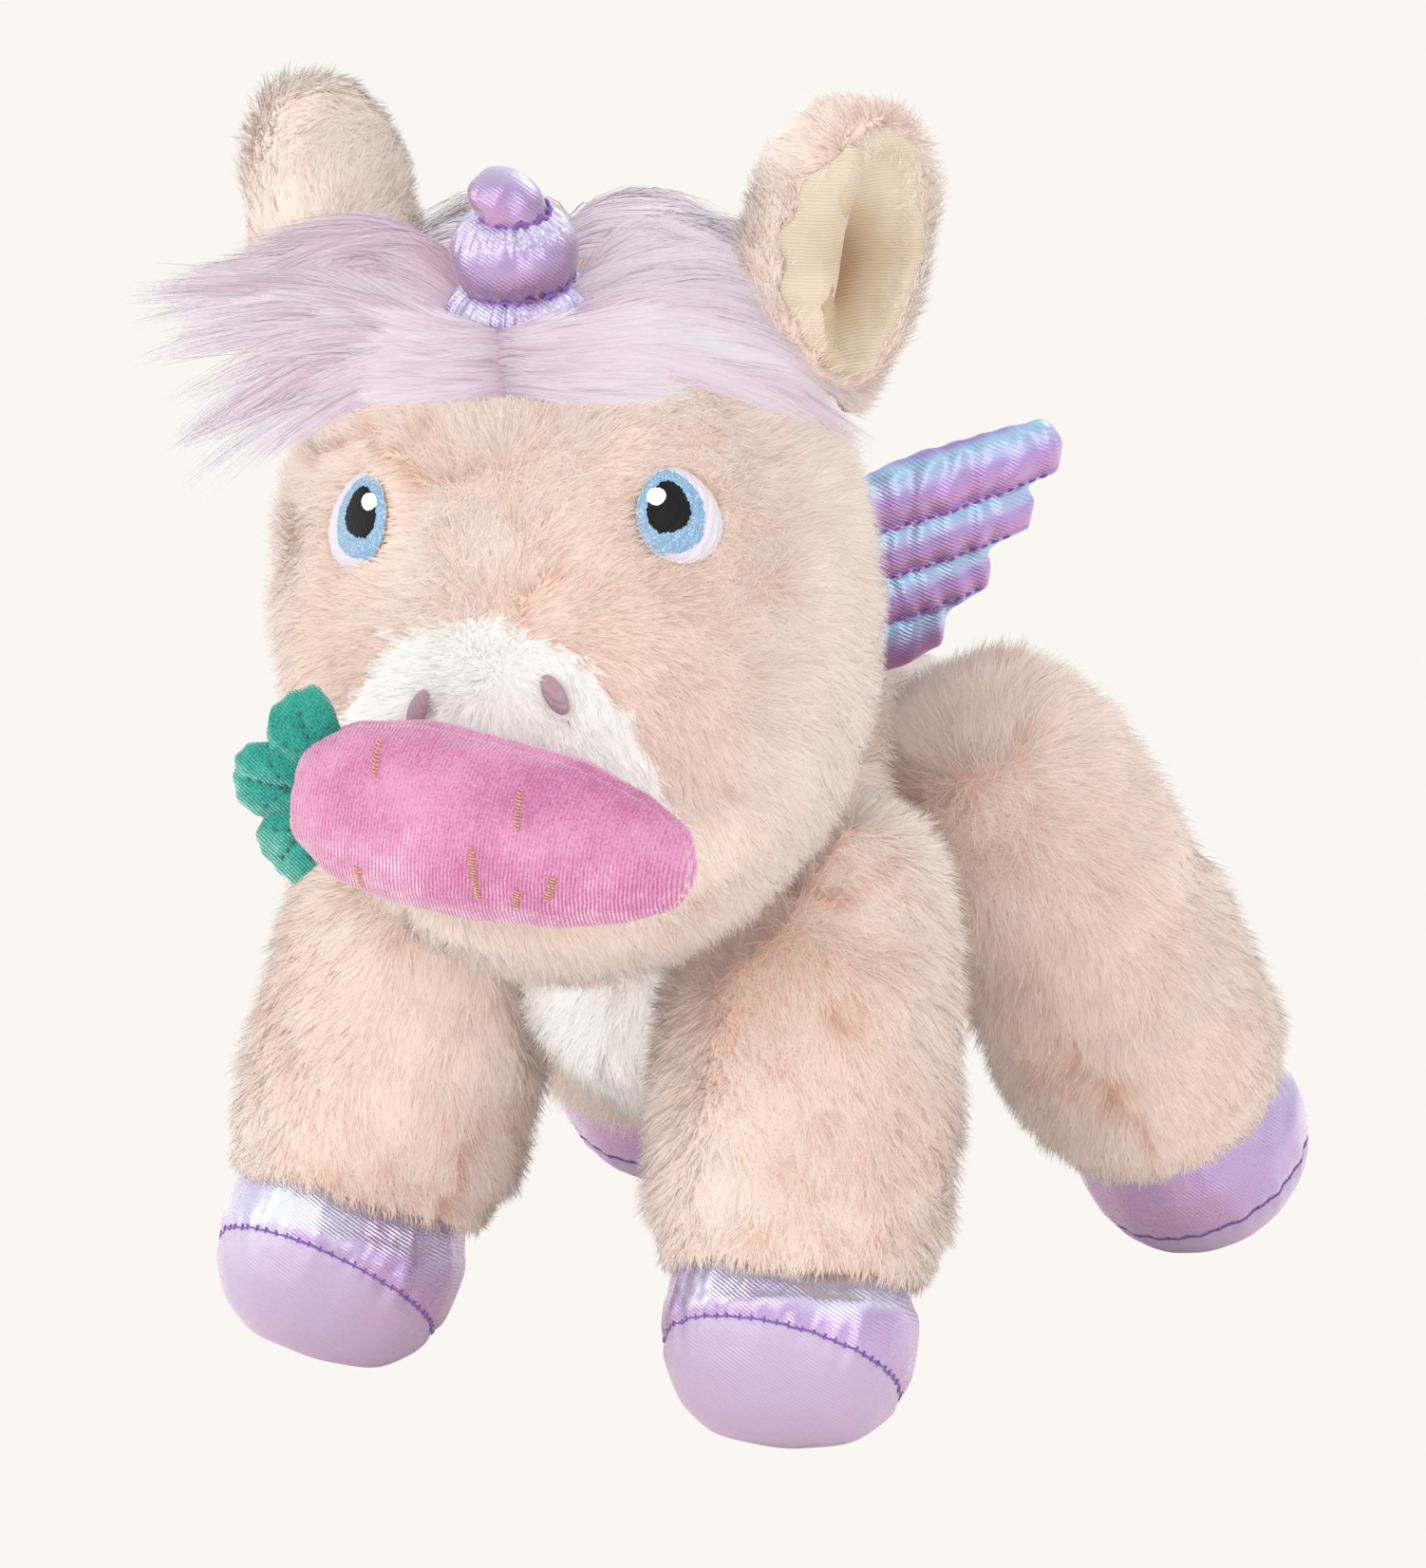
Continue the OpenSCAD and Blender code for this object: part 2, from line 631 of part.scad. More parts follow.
// The carrot nestles into the pile of the muzzle, where its round side meets the flatter face
CARROT_SEAT = 1.1;
CARROT_ROWS = [[0.72, 0.72, 0.72, 0, 0], [1, 1, 1, 0, 0], [1, 1, 1, 0, 0], [0.85, 0.85, 0.85, 0, 0],
               [0.6, 0.6, 0.6, 0, 0]];
CARROT = HEAD * turned_y(90 + CARROT_TILT,
                         head_point(MOUTH_S, -90) + [CARROT_SHIFT, CARROT_SEAT - carrot_t / 2 - move_gap, 0]);

module carrot_form(inset = 0)
    multmatrix(CARROT)
        stuffed([carrot_w, carrot_t, carrot_len] / 2, CARROT_ROWS, FIRM, inset, LIMB_SIDES, LIMB_RINGS);

STEM_D = 14;
STEM_LEN = 12;
LEAF = [15, 9, 21];
LEAF_FAN = 58;
LEAF_TUCK = 8;
LEAF_ROWS = [[0.7, 0.7, 0.7, 0, 0], [1.1, 1, 1, 0, 0], [0.9, 1, 1, 0, 0], [0.6, 0.8, 0.8, 0, 0]];

// Room for the leaves' stem in the thick end
module stem_hole()
    multmatrix(CARROT) translate([0, 0, -carrot_len / 2 - STEM_LEN])
        cylinder(h = 2 * STEM_LEN, d = STEM_D + 2 * fill_gap, $fn = FEW_SIDES);

module carrot_cover() color("#d98fae") difference() {
    carrot_form();
    carrot_form(cloth_wall);
    stem_hole();
}

// Depth of a magnet's face under its cover, whose inner face is curved
MOUTH_DIP = 3.2;
CARROT_R = carrot_t / 2 - cloth_wall;
CARROT_DIP = CARROT_R - sqrt(pow(CARROT_R, 2) - pow(magnet_d / 2, 2)) + fill_gap;

module at_mouth_magnet()
    multmatrix(MOUTH) translate([0, 0, -plush_wall - MOUTH_DIP - magnet_t]) children();
module at_carrot_magnet()
    multmatrix(CARROT) translate([0, CARROT_R - CARROT_DIP - magnet_t, 0]) rotate([-90, 0, 0]) children();

module carrot_fill() color(FILL) difference() {
    carrot_form(cloth_wall + fill_gap);
    stem_hole();
    at_carrot_magnet() cylinder(h = carrot_t, d = magnet_d + 2 * fill_gap);
}

module carrot_leaves() color("#2f8f78") difference() {
    multmatrix(CARROT) translate([0, 0, -carrot_len / 2]) {
        translate([0, 0, LEAF_TUCK]) for (fan = [-LEAF_FAN, 0, LEAF_FAN])
            rotate([180, fan, 0]) translate([0, 0, LEAF.z / 2])
                stuffed(LEAF / 2, LEAF_ROWS, SOFT, 0, SMALL_SIDES, SMALL_RINGS);
        cylinder(h = STEM_LEN - fill_gap, d = STEM_D, $fn = FEW_SIDES);
    }
    difference() {
        carrot_form(-fill_gap);
        stem_hole();
    }
}

module carrot_magnet() color(STEEL) at_carrot_magnet() cylinder(h = magnet_t, d = magnet_d);

module mouth_magnet() color(STEEL) at_mouth_magnet() cylinder(h = magnet_t, d = magnet_d);

torso_cover();
belly_panel();
torso_fill();
head_cover();
muzzle_panel();
head_fill();
mouth_magnet();
eye_whites();
eye_irises();
eye_pupils();
eye_glints();
nostrils();
horn();
forelock();
mane_crest();
ear_back(1);  // ear_left_back
ear_lining(1);  // ear_left_lining
ear_back(-1);  // ear_right_back
ear_lining(-1);  // ear_right_lining
wing(1);  // wing_left
wing(-1);  // wing_right
leg_cover(0);  // leg_front_left_cover
leg_fill(0);  // leg_front_left_fill
hoof(0);  // hoof_front_left
sole(0);  // sole_front_left
leg_cover(1);  // leg_front_right_cover
leg_fill(1);  // leg_front_right_fill
hoof(1);  // hoof_front_right
sole(1);  // sole_front_right
leg_cover(2);  // leg_rear_left_cover
leg_fill(2);  // leg_rear_left_fill
hoof(2);  // hoof_rear_left
sole(2);  // sole_rear_left
leg_cover(3);  // leg_rear_right_cover
leg_fill(3);  // leg_rear_right_fill
hoof(3);  // hoof_rear_right
sole(3);  // sole_rear_right
tail();
carrot_cover();
carrot_fill();
carrot_leaves();
carrot_magnet();
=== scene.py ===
"""Looks of the plush unicorn: pile, foil cloth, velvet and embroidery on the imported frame. In metres."""

import json
import math

import bpy
import numpy as np
from mathutils import Matrix, Vector
from mathutils.bvhtree import BVHTree


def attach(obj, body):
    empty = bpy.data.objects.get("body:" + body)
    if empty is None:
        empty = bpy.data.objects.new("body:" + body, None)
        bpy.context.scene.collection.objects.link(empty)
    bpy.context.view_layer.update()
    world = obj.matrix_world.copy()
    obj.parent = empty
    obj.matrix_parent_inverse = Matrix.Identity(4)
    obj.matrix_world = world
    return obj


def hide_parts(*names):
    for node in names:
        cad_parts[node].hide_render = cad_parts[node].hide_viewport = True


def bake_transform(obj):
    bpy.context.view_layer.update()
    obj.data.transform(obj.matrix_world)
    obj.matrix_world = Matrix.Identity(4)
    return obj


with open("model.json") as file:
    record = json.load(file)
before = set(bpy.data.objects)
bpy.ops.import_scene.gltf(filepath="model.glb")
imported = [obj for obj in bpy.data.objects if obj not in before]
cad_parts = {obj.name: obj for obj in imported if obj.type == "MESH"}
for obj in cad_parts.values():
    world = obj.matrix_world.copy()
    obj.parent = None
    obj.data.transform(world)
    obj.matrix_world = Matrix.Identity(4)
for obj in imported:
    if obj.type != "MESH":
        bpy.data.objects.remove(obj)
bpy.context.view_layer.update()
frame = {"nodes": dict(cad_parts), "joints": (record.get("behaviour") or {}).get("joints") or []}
NODES = frame["nodes"]
JOINTS = {j["name"]: j for j in frame["joints"]}
MM = 0.001
LEGS = ("front_left", "front_right", "rear_left", "rear_right")
scene = bpy.context.scene
HASH = np.array([374761393, 668265263, 1442695041])  # odd factors that scatter the cells of the noise
WAVE_RATE = 3.18  # bands that Blender's wave texture draws in a length of 1 at a scale of 1


# Small tools


def unit(v):
    return v / np.maximum(np.linalg.norm(v, axis=-1, keepdims=True), 1e-12)


def srgb(code):
    """Linear colour of a hex code."""
    c = np.array([int(code[i : i + 2], 16) for i in (0, 2, 4)]) / 255
    return np.where(c <= 0.04045, c / 12.92, ((c + 0.055) / 1.055) ** 2.4)


def noise(p, size, seed):
    """Smooth random value from -1 to 1 at each point, with features of about that size."""
    q = p / size + 31.7 * seed
    i = np.floor(q).astype(np.int64)
    f = q - i
    f = f * f * (3 - 2 * f)
    out = np.zeros(len(p))
    for k in range(8):
        d = (k & 1, k >> 1 & 1, k >> 2)
        h = (i + d) @ HASH + seed * 97
        h = ((h ^ (h >> 13)) * 1274126177) & 0xFFFFFFFF
        h = (h ^ (h >> 16)) & 0xFFFF
        w = np.ones(len(p))
        for a in range(3):
            w = w * (f[:, a] if d[a] else 1 - f[:, a])
        out += w * (h / 32767.5 - 1)
    return out


def swirl(p, size, seed):
    """Smooth random direction at each point."""
    return np.stack([noise(p, size, seed + k) for k in (0, 1, 2)], 1)


def slope(p, size, seed):
    """Gradient of the noise, of about unit length."""
    base = noise(p, size, seed)
    step = 0.08 * size
    return np.stack([(noise(p + step * np.eye(3)[a], size, seed) - base) / 0.16 for a in range(3)], 1)


def arrays(obj):
    """Vertices and triangles of an object's mesh."""
    me = obj.data
    me.calc_loop_triangles()
    co = np.empty(len(me.vertices) * 3)
    me.vertices.foreach_get("co", co)
    tri = np.empty(len(me.loop_triangles) * 3, np.int32)
    me.loop_triangles.foreach_get("vertices", tri)
    return co.reshape(-1, 3), tri.reshape(-1, 3)


def joined(parts):
    """One list of vertices and triangles from several."""
    cos, tris, base = [], [], 0
    for co, tri in parts:
        cos.append(co)
        tris.append(tri + base)
        base += len(co)
    return np.concatenate(cos), np.concatenate(tris)


def mesh_of(name, co, tri, smooth=True):
    me = bpy.data.meshes.new(name)
    me.vertices.add(len(co))
    me.vertices.foreach_set("co", np.ascontiguousarray(co, np.float32).ravel())
    me.loops.add(3 * len(tri))
    me.loops.foreach_set("vertex_index", np.ascontiguousarray(tri, np.int32).ravel())
    me.polygons.add(len(tri))
    me.polygons.foreach_set("loop_start", np.arange(0, 3 * len(tri), 3, dtype=np.int32))
    me.polygons.foreach_set("use_smooth", np.full(len(tri), smooth))
    me.update(calc_edges=True)
    return me


def add_object(name, co, tri, material, smooth=True):
    obj = bpy.data.objects.new(name, mesh_of(name, co, tri, smooth))
    scene.collection.objects.link(obj)
    obj.data.materials.append(material)
    return obj


def normals(co, tri):
    n = np.cross(co[tri[:, 1]] - co[tri[:, 0]], co[tri[:, 2]] - co[tri[:, 0]])
    out = np.zeros_like(co)
    for k in range(3):
        np.add.at(out, tri[:, k], n)
    return unit(out)


def ring_faces(rows, around):
    """Triangles of the wall between rings of points that follow one another."""
    j = np.arange(around)
    t = (j + 1) % around
    p = around * np.arange(rows - 1)[:, None]
    q = p + around
    first = np.stack([p + j, p + t, q + t], -1)
    second = np.stack([p + j, q + t, q + j], -1)
    return np.stack([first, second], 2).reshape(-1, 3)


def closed_faces(rows, around):
    """The same wall, closed by two last points: the middle of its foot and the middle of its top."""
    j = np.arange(around)
    t = (j + 1) % around
    last, foot = (rows - 1) * around, rows * around
    caps = [np.column_stack([last + j, last + t, 0 * j + foot + 1]), np.column_stack([t, j, 0 * j + foot])]
    return np.concatenate([ring_faces(rows, around), *caps])


def disc_faces(rings, around):
    """Triangles of a disc: a middle point, then rings of points from the inside out."""
    j = np.arange(around)
    fan = np.column_stack([0 * j, 1 + j, 1 + (j + 1) % around])
    return np.concatenate([fan, 1 + ring_faces(rings, around)[:, ::-1]])


def part_of(tri, faces):
    """The vertices that some faces use, and those faces counted in them."""
    used, index = np.unique(tri[faces], return_inverse=True)
    return used, index.reshape(-1, 3)


def point_values(obj, name, values):
    """A named value at each vertex, for the material to read."""
    obj.data.attributes.new(name, "FLOAT", "POINT").data.foreach_set("value", values.astype(np.float32))


def bake_uv(obj, tri, uv):
    """The object's UV map, from a pair of values at each vertex."""
    layer = obj.data.uv_layers.new(name="OFBake")
    layer.data.foreach_set("uv", np.clip(uv, 0.01, 0.99)[tri.ravel()].astype(np.float32).ravel())


def soft_form(nodes, voxel, relax):
    """Closed smooth form over CAD nodes: remeshed as one skin, then relaxed to round off its facets."""
    co, tri = joined([arrays(NODES[n]) for n in nodes])
    obj = bpy.data.objects.new("form", mesh_of("form", co, tri))
    scene.collection.objects.link(obj)
    m = obj.modifiers.new("skin", "REMESH")
    m.mode, m.voxel_size = "VOXEL", voxel * MM
    m = obj.modifiers.new("relax", "SMOOTH")
    m.factor, m.iterations = 0.5, relax
    dg = bpy.context.evaluated_depsgraph_get()
    me = bpy.data.meshes.new_from_object(obj.evaluated_get(dg))
    bpy.data.objects.remove(obj)
    holder = bpy.data.objects.new("form", me)
    co, tri = arrays(holder)
    bpy.data.objects.remove(holder)
    return outer_shell(co, tri)


def outer_shell(co, tri):
    """The largest connected part of a mesh."""
    label = np.arange(len(co))
    while True:
        low = label[tri].min(1)
        new = label.copy()
        for k in range(3):
            np.minimum.at(new, tri[:, k], low)
        new = new[new]
        if (new == label).all():
            break
        label = new
    ids, count = np.unique(label[tri[:, 0]], return_counts=True)
    keep = label == ids[count.argmax()]
    index = np.cumsum(keep) - 1
    return co[keep], index[tri[keep[tri[:, 0]]]]


def tree(co, tri):
    return BVHTree.FromPolygons([tuple(p) for p in co], [tuple(t) for t in tri.tolist()])


def inside(points, bvh, reach=0.03):
    """Depth of each point inside a closed form, negative outside, and -1 where the form is out of reach."""
    out = np.full(len(points), -1.0)
    for i, p in enumerate(points):
        hit, n, _, dist = bvh.find_nearest(Vector(p), reach)
        if hit is not None:
            out[i] = -dist if (Vector(p) - hit).dot(n) > 0 else dist
    return out


def nearest(points, bvh):
    """Distance of each point from a form."""
    return np.array([bvh.find_nearest(Vector(p))[3] for p in points])


# Materials


class Nodes:
    """Short way to write the node tree of a material or of the world."""

    def __init__(self, owner):
        self.owner = owner
        owner.use_nodes = True
        self.tree = owner.node_tree
        self.tree.nodes.clear()

    def add(self, kind, **values):
        n = self.tree.nodes.new("ShaderNode" + kind)
        for k, v in values.items():
            if hasattr(n, k) and k not in n.inputs:
                setattr(n, k, v)
            else:
                self.put(n.inputs[k], v)
        return n

    def put(self, socket, v):
        if isinstance(v, bpy.types.NodeSocket):
            self.tree.links.new(v, socket)
        elif isinstance(v, (tuple, list, np.ndarray)):
            v = list(v)
            socket.default_value = v + [1.0] if len(v) == 3 and socket.type == "RGBA" else v
        else:
            socket.default_value = v

    def noise(self, point, scale, detail, rough=0.5):
        return self.add("TexNoise", Vector=point, Scale=scale, Detail=detail, Roughness=rough).outputs[0]

    def math(self, operation, a, b=0.0):
        n = self.add("Math", operation=operation)
        self.put(n.inputs[0], a)
        self.put(n.inputs[1], b)
        return n.outputs[0]

    def ramp(self, value, stops, interpolation="EASE"):
        n = self.add("ValToRGB")
        n.color_ramp.interpolation = interpolation
        while len(n.color_ramp.elements) < len(stops):
            n.color_ramp.elements.new(0.5)
        for e, (at, color) in zip(n.color_ramp.elements, stops):
            e.position = at
            e.color = [*srgb(color), 1] if isinstance(color, str) else [color, color, color, 1]
        self.put(n.inputs[0], value)
        return n.outputs[0]

    def mix(self, share, a, b):
        n = self.add("Mix", data_type="RGBA")
        self.put(n.inputs[0], share)
        self.put(n.inputs[6], srgb(a) if isinstance(a, str) else a)
        self.put(n.inputs[7], srgb(b) if isinstance(b, str) else b)
        return n.outputs[2]

    def bump(self, height, distance, strength=1.0):
        return self.add("Bump", Height=height, Distance=distance, Strength=strength).outputs[0]

    def finish(self, **values):
        b = self.add("BsdfPrincipled", **values)
        self.tree.links.new(b.outputs[0], self.add("OutputMaterial").inputs[0])
        return self.owner

    def by_ray(self, seen, other, output):
        """One shader for what the camera itself sees and another for every other ray."""
        mix = self.add("MixShader")
        for socket, v in zip(mix.inputs, (self.add("LightPath").outputs["Is Camera Ray"], other, seen)):
            self.put(socket, v.outputs[0] if hasattr(v, "outputs") else v)
        self.put(self.add(output).inputs[0], mix.outputs[0])


def pile_material(name, dark, light, sheen=0.25):
    """Pile coloured from root (V = 0) to tip (V = 1), between a dark and a light strand (U). The darker roots
    are painted shade among the strands, which throw no shadows.
    """
    m = Nodes(bpy.data.materials.new(name))
    uv = m.add("SeparateXYZ", Vector=m.add("UVMap", uv_map="OFBake").outputs[0])
    stops = (0.05, 0.45, 0.95)
    a = m.ramp(uv.outputs[1], list(zip(stops, dark)), "LINEAR")
    b = m.ramp(uv.outputs[1], list(zip(stops, light)), "LINEAR")
    g = m.add("NewGeometry")
    flip = m.math("SUBTRACT", 1.0, m.math("MULTIPLY", g.outputs["Backfacing"], 2.0))
    turned = m.add("VectorMath", operation="SCALE")
    m.put(turned.inputs[0], g.outputs["Normal"])
    m.put(turned.inputs["Scale"], flip)
    color = m.mix(uv.outputs[0], a, b)
    return m.finish(**{"Base Color": color, "Roughness": 0.85, "Specular IOR Level": 0.12,
                       "Sheen Weight": sheen, "Sheen Roughness": 0.4, "Normal": turned.outputs[0]})


def object_point(m):
    return m.add("TexCoord").outputs["Object"]


def weave(m, point, pitch, depth, angle=0.0):
    """Diagonal twill lines as a bump."""
    turned = m.add("Mapping", Vector=point, Rotation=(0.3, 0.5, angle))
    w = m.add("TexWave", Vector=turned.outputs[0], Scale=1 / pitch / WAVE_RATE, Distortion=1.5,
              bands_direction="DIAGONAL")
    m.put(w.inputs["Detail"], 1.0)
    return m.bump(w.outputs["Fac"], depth, 0.5)


def foil_material(name, base, painted_sky_tint, downward_tint, rough, metal, silver=None):
    """Foil cloth: a lilac film over a twill, with a painted sky reflection: paler and bluer where it turns
    up, pinker where it turns down.
    """
    m = Nodes(bpy.data.materials.new(name))
    p = object_point(m)
    # Colour by how far each face turns up, with a random cloud: a painted reflection of the sky.
    up = m.add("SeparateXYZ", Vector=m.add("TexCoord").outputs["Normal"])
    cloud = m.noise(p, 45.0, 2.0)
    lift = m.math("ADD", m.math("MULTIPLY", up.outputs[2], 0.35), m.math("MULTIPLY", cloud, 0.6))
    color = m.ramp(lift, [(0.05, downward_tint), (0.32, base), (0.62, painted_sky_tint)])
    grain = m.noise(p, 900.0, 3.0)
    # Painted highlights: pale sparkle flecks where the mesh marks them.
    if silver:
        spark = m.ramp(m.noise(p, 1100.0, 2.0), [(0.42, 0.2), (0.62, 0.95)])
        share = m.math("MULTIPLY", m.add("Attribute", attribute_name="silver").outputs["Fac"], spark)
        color = m.mix(share, color, silver)
    roughness = m.math("ADD", m.math("MULTIPLY", grain, 0.22), rough - 0.1)
    crease = m.noise(p, 130.0, 3.0, 0.6)
    b = m.add("Bump", Height=crease, Distance=0.0006, Strength=0.5)
    m.put(b.inputs["Normal"], weave(m, p, 0.0006, 0.00012, 0.6))
    return m.finish(**{"Base Color": color, "Metallic": metal, "Roughness": roughness, "Normal": b.outputs[0],
                       "Sheen Weight": 0.15, "Coat Weight": 0.25, "Coat Roughness": 0.35})


def velvet_material(name, dark, mid, light, axis, pitch):
    """Ribbed velvet: fine ribs across an axis, with brushed, paler patches and, on faces that turn down,
    painted sheen in pale streaks along the ribs.
    """
    m = Nodes(bpy.data.materials.new(name))
    p = object_point(m)
    along = m.add("VectorMath", operation="DOT_PRODUCT")
    m.put(along.inputs[0], p)
    m.put(along.inputs[1], axis)
    jitter = m.math("MULTIPLY", m.noise(p, 300.0, 2.0), 0.9 * pitch)
    phase = m.math("MULTIPLY", m.math("ADD", along.outputs["Value"], jitter), 2 * math.pi / pitch)
    rib = m.math("ADD", m.math("MULTIPLY", m.math("SINE", phase), 0.5), 0.5)
    brushed = m.noise(p, 60.0, 4.0, 0.65)
    fine = m.noise(p, 1900.0, 2.0)
    # Painted sheen: pale streaks along the ribs on faces that turn down.
    down = m.add("SeparateXYZ", Vector=m.add("TexCoord").outputs["Normal"]).outputs[2]
    low = m.math("SUBTRACT", 0.35, m.math("MULTIPLY", down, 0.9))
    low = m.math("MINIMUM", m.math("MAXIMUM", low, 0.0), 1.0)
    fleck = m.noise(p, 320.0, 2.0)
    painted_sheen_streak = m.math("SUBTRACT", m.math("MULTIPLY", rib, fleck), 0.2)
    tone = m.math("ADD", m.math("MULTIPLY", brushed, 0.5), m.math("MULTIPLY", rib, 0.05))
    tone = m.math("ADD", tone, m.math("MULTIPLY", fine, 0.42))
    tone = m.math("ADD", tone, m.math("MULTIPLY", low, m.math("MULTIPLY", painted_sheen_streak, 0.6)))
    color = m.ramp(tone, [(0.34, dark), (0.57, mid), (0.82, light)])
    b = m.add("Bump", Height=fine, Distance=0.0003, Strength=0.6)
    m.put(b.inputs["Normal"], m.bump(rib, 0.0003, 0.7))
    return m.finish(**{"Base Color": color, "Roughness": 0.75, "Specular IOR Level": 0.2, "Sheen Weight": 0.7,
                       "Sheen Roughness": 0.3, "Normal": b.outputs[0]})


def thread_material(name, color, spark=None, pitch=0.0007, rough=0.5, metal=0.0, gloss=0.5):
    """Embroidery: satin stitches lying side by side."""
    m = Nodes(bpy.data.materials.new(name))
    p = object_point(m)
    turned = m.add("Mapping", Vector=p, Rotation=(0.2, 0.4, 0.9))
    w = m.add("TexWave", Vector=turned.outputs[0], Scale=1 / pitch / WAVE_RATE, Distortion=2.5)
    m.put(w.inputs["Detail"], 2.0)
    flecks = m.noise(p, 2800.0, 2.0)
    base = srgb(color)
    tone = m.mix(m.math("MULTIPLY", w.outputs["Fac"], 0.35), base, np.minimum(base * 0.72, 1))
    if spark:
        tone = m.mix(m.ramp(flecks, [(0.56, 0.0), (0.66, 1.0)]), tone, spark)
    return m.finish(**{"Base Color": tone, "Roughness": rough, "Metallic": metal, "Specular IOR Level": gloss,
                       "Sheen Weight": 0.2 * (gloss > 0.2),
                       "Normal": m.bump(w.outputs["Fac"], 0.0003, 0.5)})


def satin_material(name, pitch):
    """Ribbed satin, with painted shade in the hollow that the mesh marks."""
    m = Nodes(bpy.data.materials.new(name))
    p = object_point(m)
    cloud = m.noise(p, 70.0, 3.0)
    # The mesh's depth value: painted shade in the cup's hollow.
    painted_hollow_shade = m.add("Attribute", attribute_name="depth").outputs["Fac"]
    wave = m.add("TexWave", Vector=p, Scale=1 / pitch / WAVE_RATE, Distortion=1.2, bands_direction="Z")
    rib = wave.outputs["Fac"]
    shade = m.math("ADD", m.math("MULTIPLY", cloud, 0.35), m.math("MULTIPLY", painted_hollow_shade, -0.55))
    shade = m.math("ADD", m.math("ADD", shade, 0.42), m.math("MULTIPLY", rib, 0.12))
    color = m.ramp(shade, [(0.1, "80633f"), (0.45, "9e8a6d"), (0.75, "b9ad9c")])
    return m.finish(**{"Base Color": color, "Roughness": 0.45, "Sheen Weight": 0.4, "Sheen Roughness": 0.3,
                       "Normal": m.bump(rib, 0.00015, 0.5)})


def wing_material(name):
    """Foil cloth whose colour runs across each feather (U): painted shade at the seams on both edges, a
    painted pale cyan sheen below the upper seam, then lilac to pink.
    """
    m = Nodes(bpy.data.materials.new(name))
    p = object_point(m)
    uv = m.add("SeparateXYZ", Vector=m.add("UVMap", uv_map="OFBake").outputs[0])
    cloud = m.noise(p, 70.0, 2.0)
    at = m.math("ADD", uv.outputs[0], m.math("MULTIPLY", m.math("SUBTRACT", cloud, 0.5), 0.25))
    # Across a feather: painted seam shade, painted cyan sheen, lilac, pink, painted seam shade.
    color = m.ramp(at, [(0.02, "7f66a2"), (0.12, "87a8c4"), (0.3, "9ba2c8"),
                        (0.48, "9b82b8"), (0.8, "a880ac"), (0.98, "8668a6")])
    b = m.add("Bump", Height=m.noise(p, 160.0, 3.0, 0.6), Distance=0.0007, Strength=0.6)
    m.put(b.inputs["Normal"], weave(m, p, 0.0007, 0.00015, 0.9))
    return m.finish(**{"Base Color": color, "Metallic": 0.6, "Roughness": 0.36, "Normal": b.outputs[0],
                       "Coat Weight": 0.2, "Coat Roughness": 0.35})


def steel_material(name):
    m = Nodes(bpy.data.materials.new(name))
    color = m.ramp(m.noise(object_point(m), 400.0, 2.0), [(0.3, "83868b"), (0.7, "a3a6ab")])
    return m.finish(**{"Base Color": color, "Metallic": 1.0, "Roughness": 0.35})


# Pile colours, root, middle and tip, for a dark and a light strand: the darker roots are painted shade.
PINK = pile_material("blush_pile", ("b18674", "bd9d8d", "c7afa3"), ("cdb9ae", "d3c3b9", "dad0c9"))
WHITE = pile_material("white_pile", ("b8b3ad", "c4c0bc", "cecbc8"), ("d4d1cd", "dcdad7", "e3e2e0"))
MANE = pile_material("mane_pile", ("a47b93", "b092a6", "bba5b3"), ("a9a0ad", "b6aeb9", "c4c0c6"), 0.2)
# Foil colours: base, painted sky tint on upward faces, tint on downward faces; the horn also has pale painted
# sparkle highlights.
FOIL = foil_material("lilac_foil", "a590b9", "bdc0d6", "b18fb0", 0.28, 0.78)
SOLE = foil_material("sole_foil", "a291ae", "aaa0b8", "a88fac", 0.48, 0.25)
HORN = foil_material("horn_foil", "937ca4", "a39ebb", "a180a0", 0.3, 0.75, "bab4d2")
WING = wing_material("wing_foil")
SATIN = satin_material("ear_satin", 0.65 * MM)
STEEL = steel_material("magnet_steel")
THREAD = thread_material("purple_thread", "6b3f96")
COPPER = thread_material("copper_thread", "b5806c", "dcb59c", rough=0.4, metal=0.2)
TEAL = thread_material("teal_thread", "0b5f5c")
WHITE_THREAD = thread_material("white_thread", "bdb8c1")
BLUE_THREAD = thread_material("blue_thread", "668cab", "a5c2d6", rough=0.4)
BLACK_THREAD = thread_material("black_thread", "0b0a0d", gloss=0.15)
MAUVE_THREAD = thread_material("mauve_thread", "98808a", gloss=0.15)


# Pile


def strands_mesh(paths, width, side, shade, normal, taper):
    """Flat tapering strands along paths, count x points x 3. Shade is a strand's U; V runs to the tip."""
    count, points = paths.shape[:2]
    half = (0.5 * width)[:, None, None] * side[:, None, :] * np.asarray(taper)[None, :-1, None]
    body = paths[:, :-1]
    co = np.concatenate([np.stack([body - half, body + half], 2).reshape(count, -1, 3), paths[:, -1:]], 1)
    per = 2 * (points - 1) + 1
    faces = []
    for k in range(points - 2):
        a = 2 * k
        faces += [(a, a + 1, a + 3), (a, a + 3, a + 2)]
    a = 2 * (points - 2)
    faces.append((a, a + 1, a + 2))
    tri = (np.arange(count) * per)[:, None, None] + np.array(faces)[None]
    v = np.repeat(np.linspace(0, 1, points)[:-1], 2).tolist() + [1.0]
    spread = np.array([-0.006, 0.006] * (points - 1) + [0.0])
    uv = np.stack([shade[:, None] + spread[None], np.repeat(np.array(v)[None], count, 0)], 2)
    return co.reshape(-1, 3), tri.reshape(-1, 3), uv.reshape(-1, 2), np.repeat(normal, per, 0)


def pile_object(name, parts, material):
    """Object from pieces of (vertices, triangles, UV, normals), with soft normals and its UV map."""
    co, tri = joined([(p[0], p[1]) for p in parts])
    uv = np.concatenate([p[2] for p in parts])
    nor = np.concatenate([p[3] for p in parts])
    obj = add_object(name, co, tri, material)
    bake_uv(obj, tri, uv)
    obj.data.normals_split_custom_set_from_vertices(unit(nor).tolist())
    return obj


# Sizes of the pile's unevenness
SWIRL = 34 * MM
CLUMP = 8.5 * MM
RIPPLE = 20 * MM
PARTING = 32 * MM
PATCH = 30 * MM


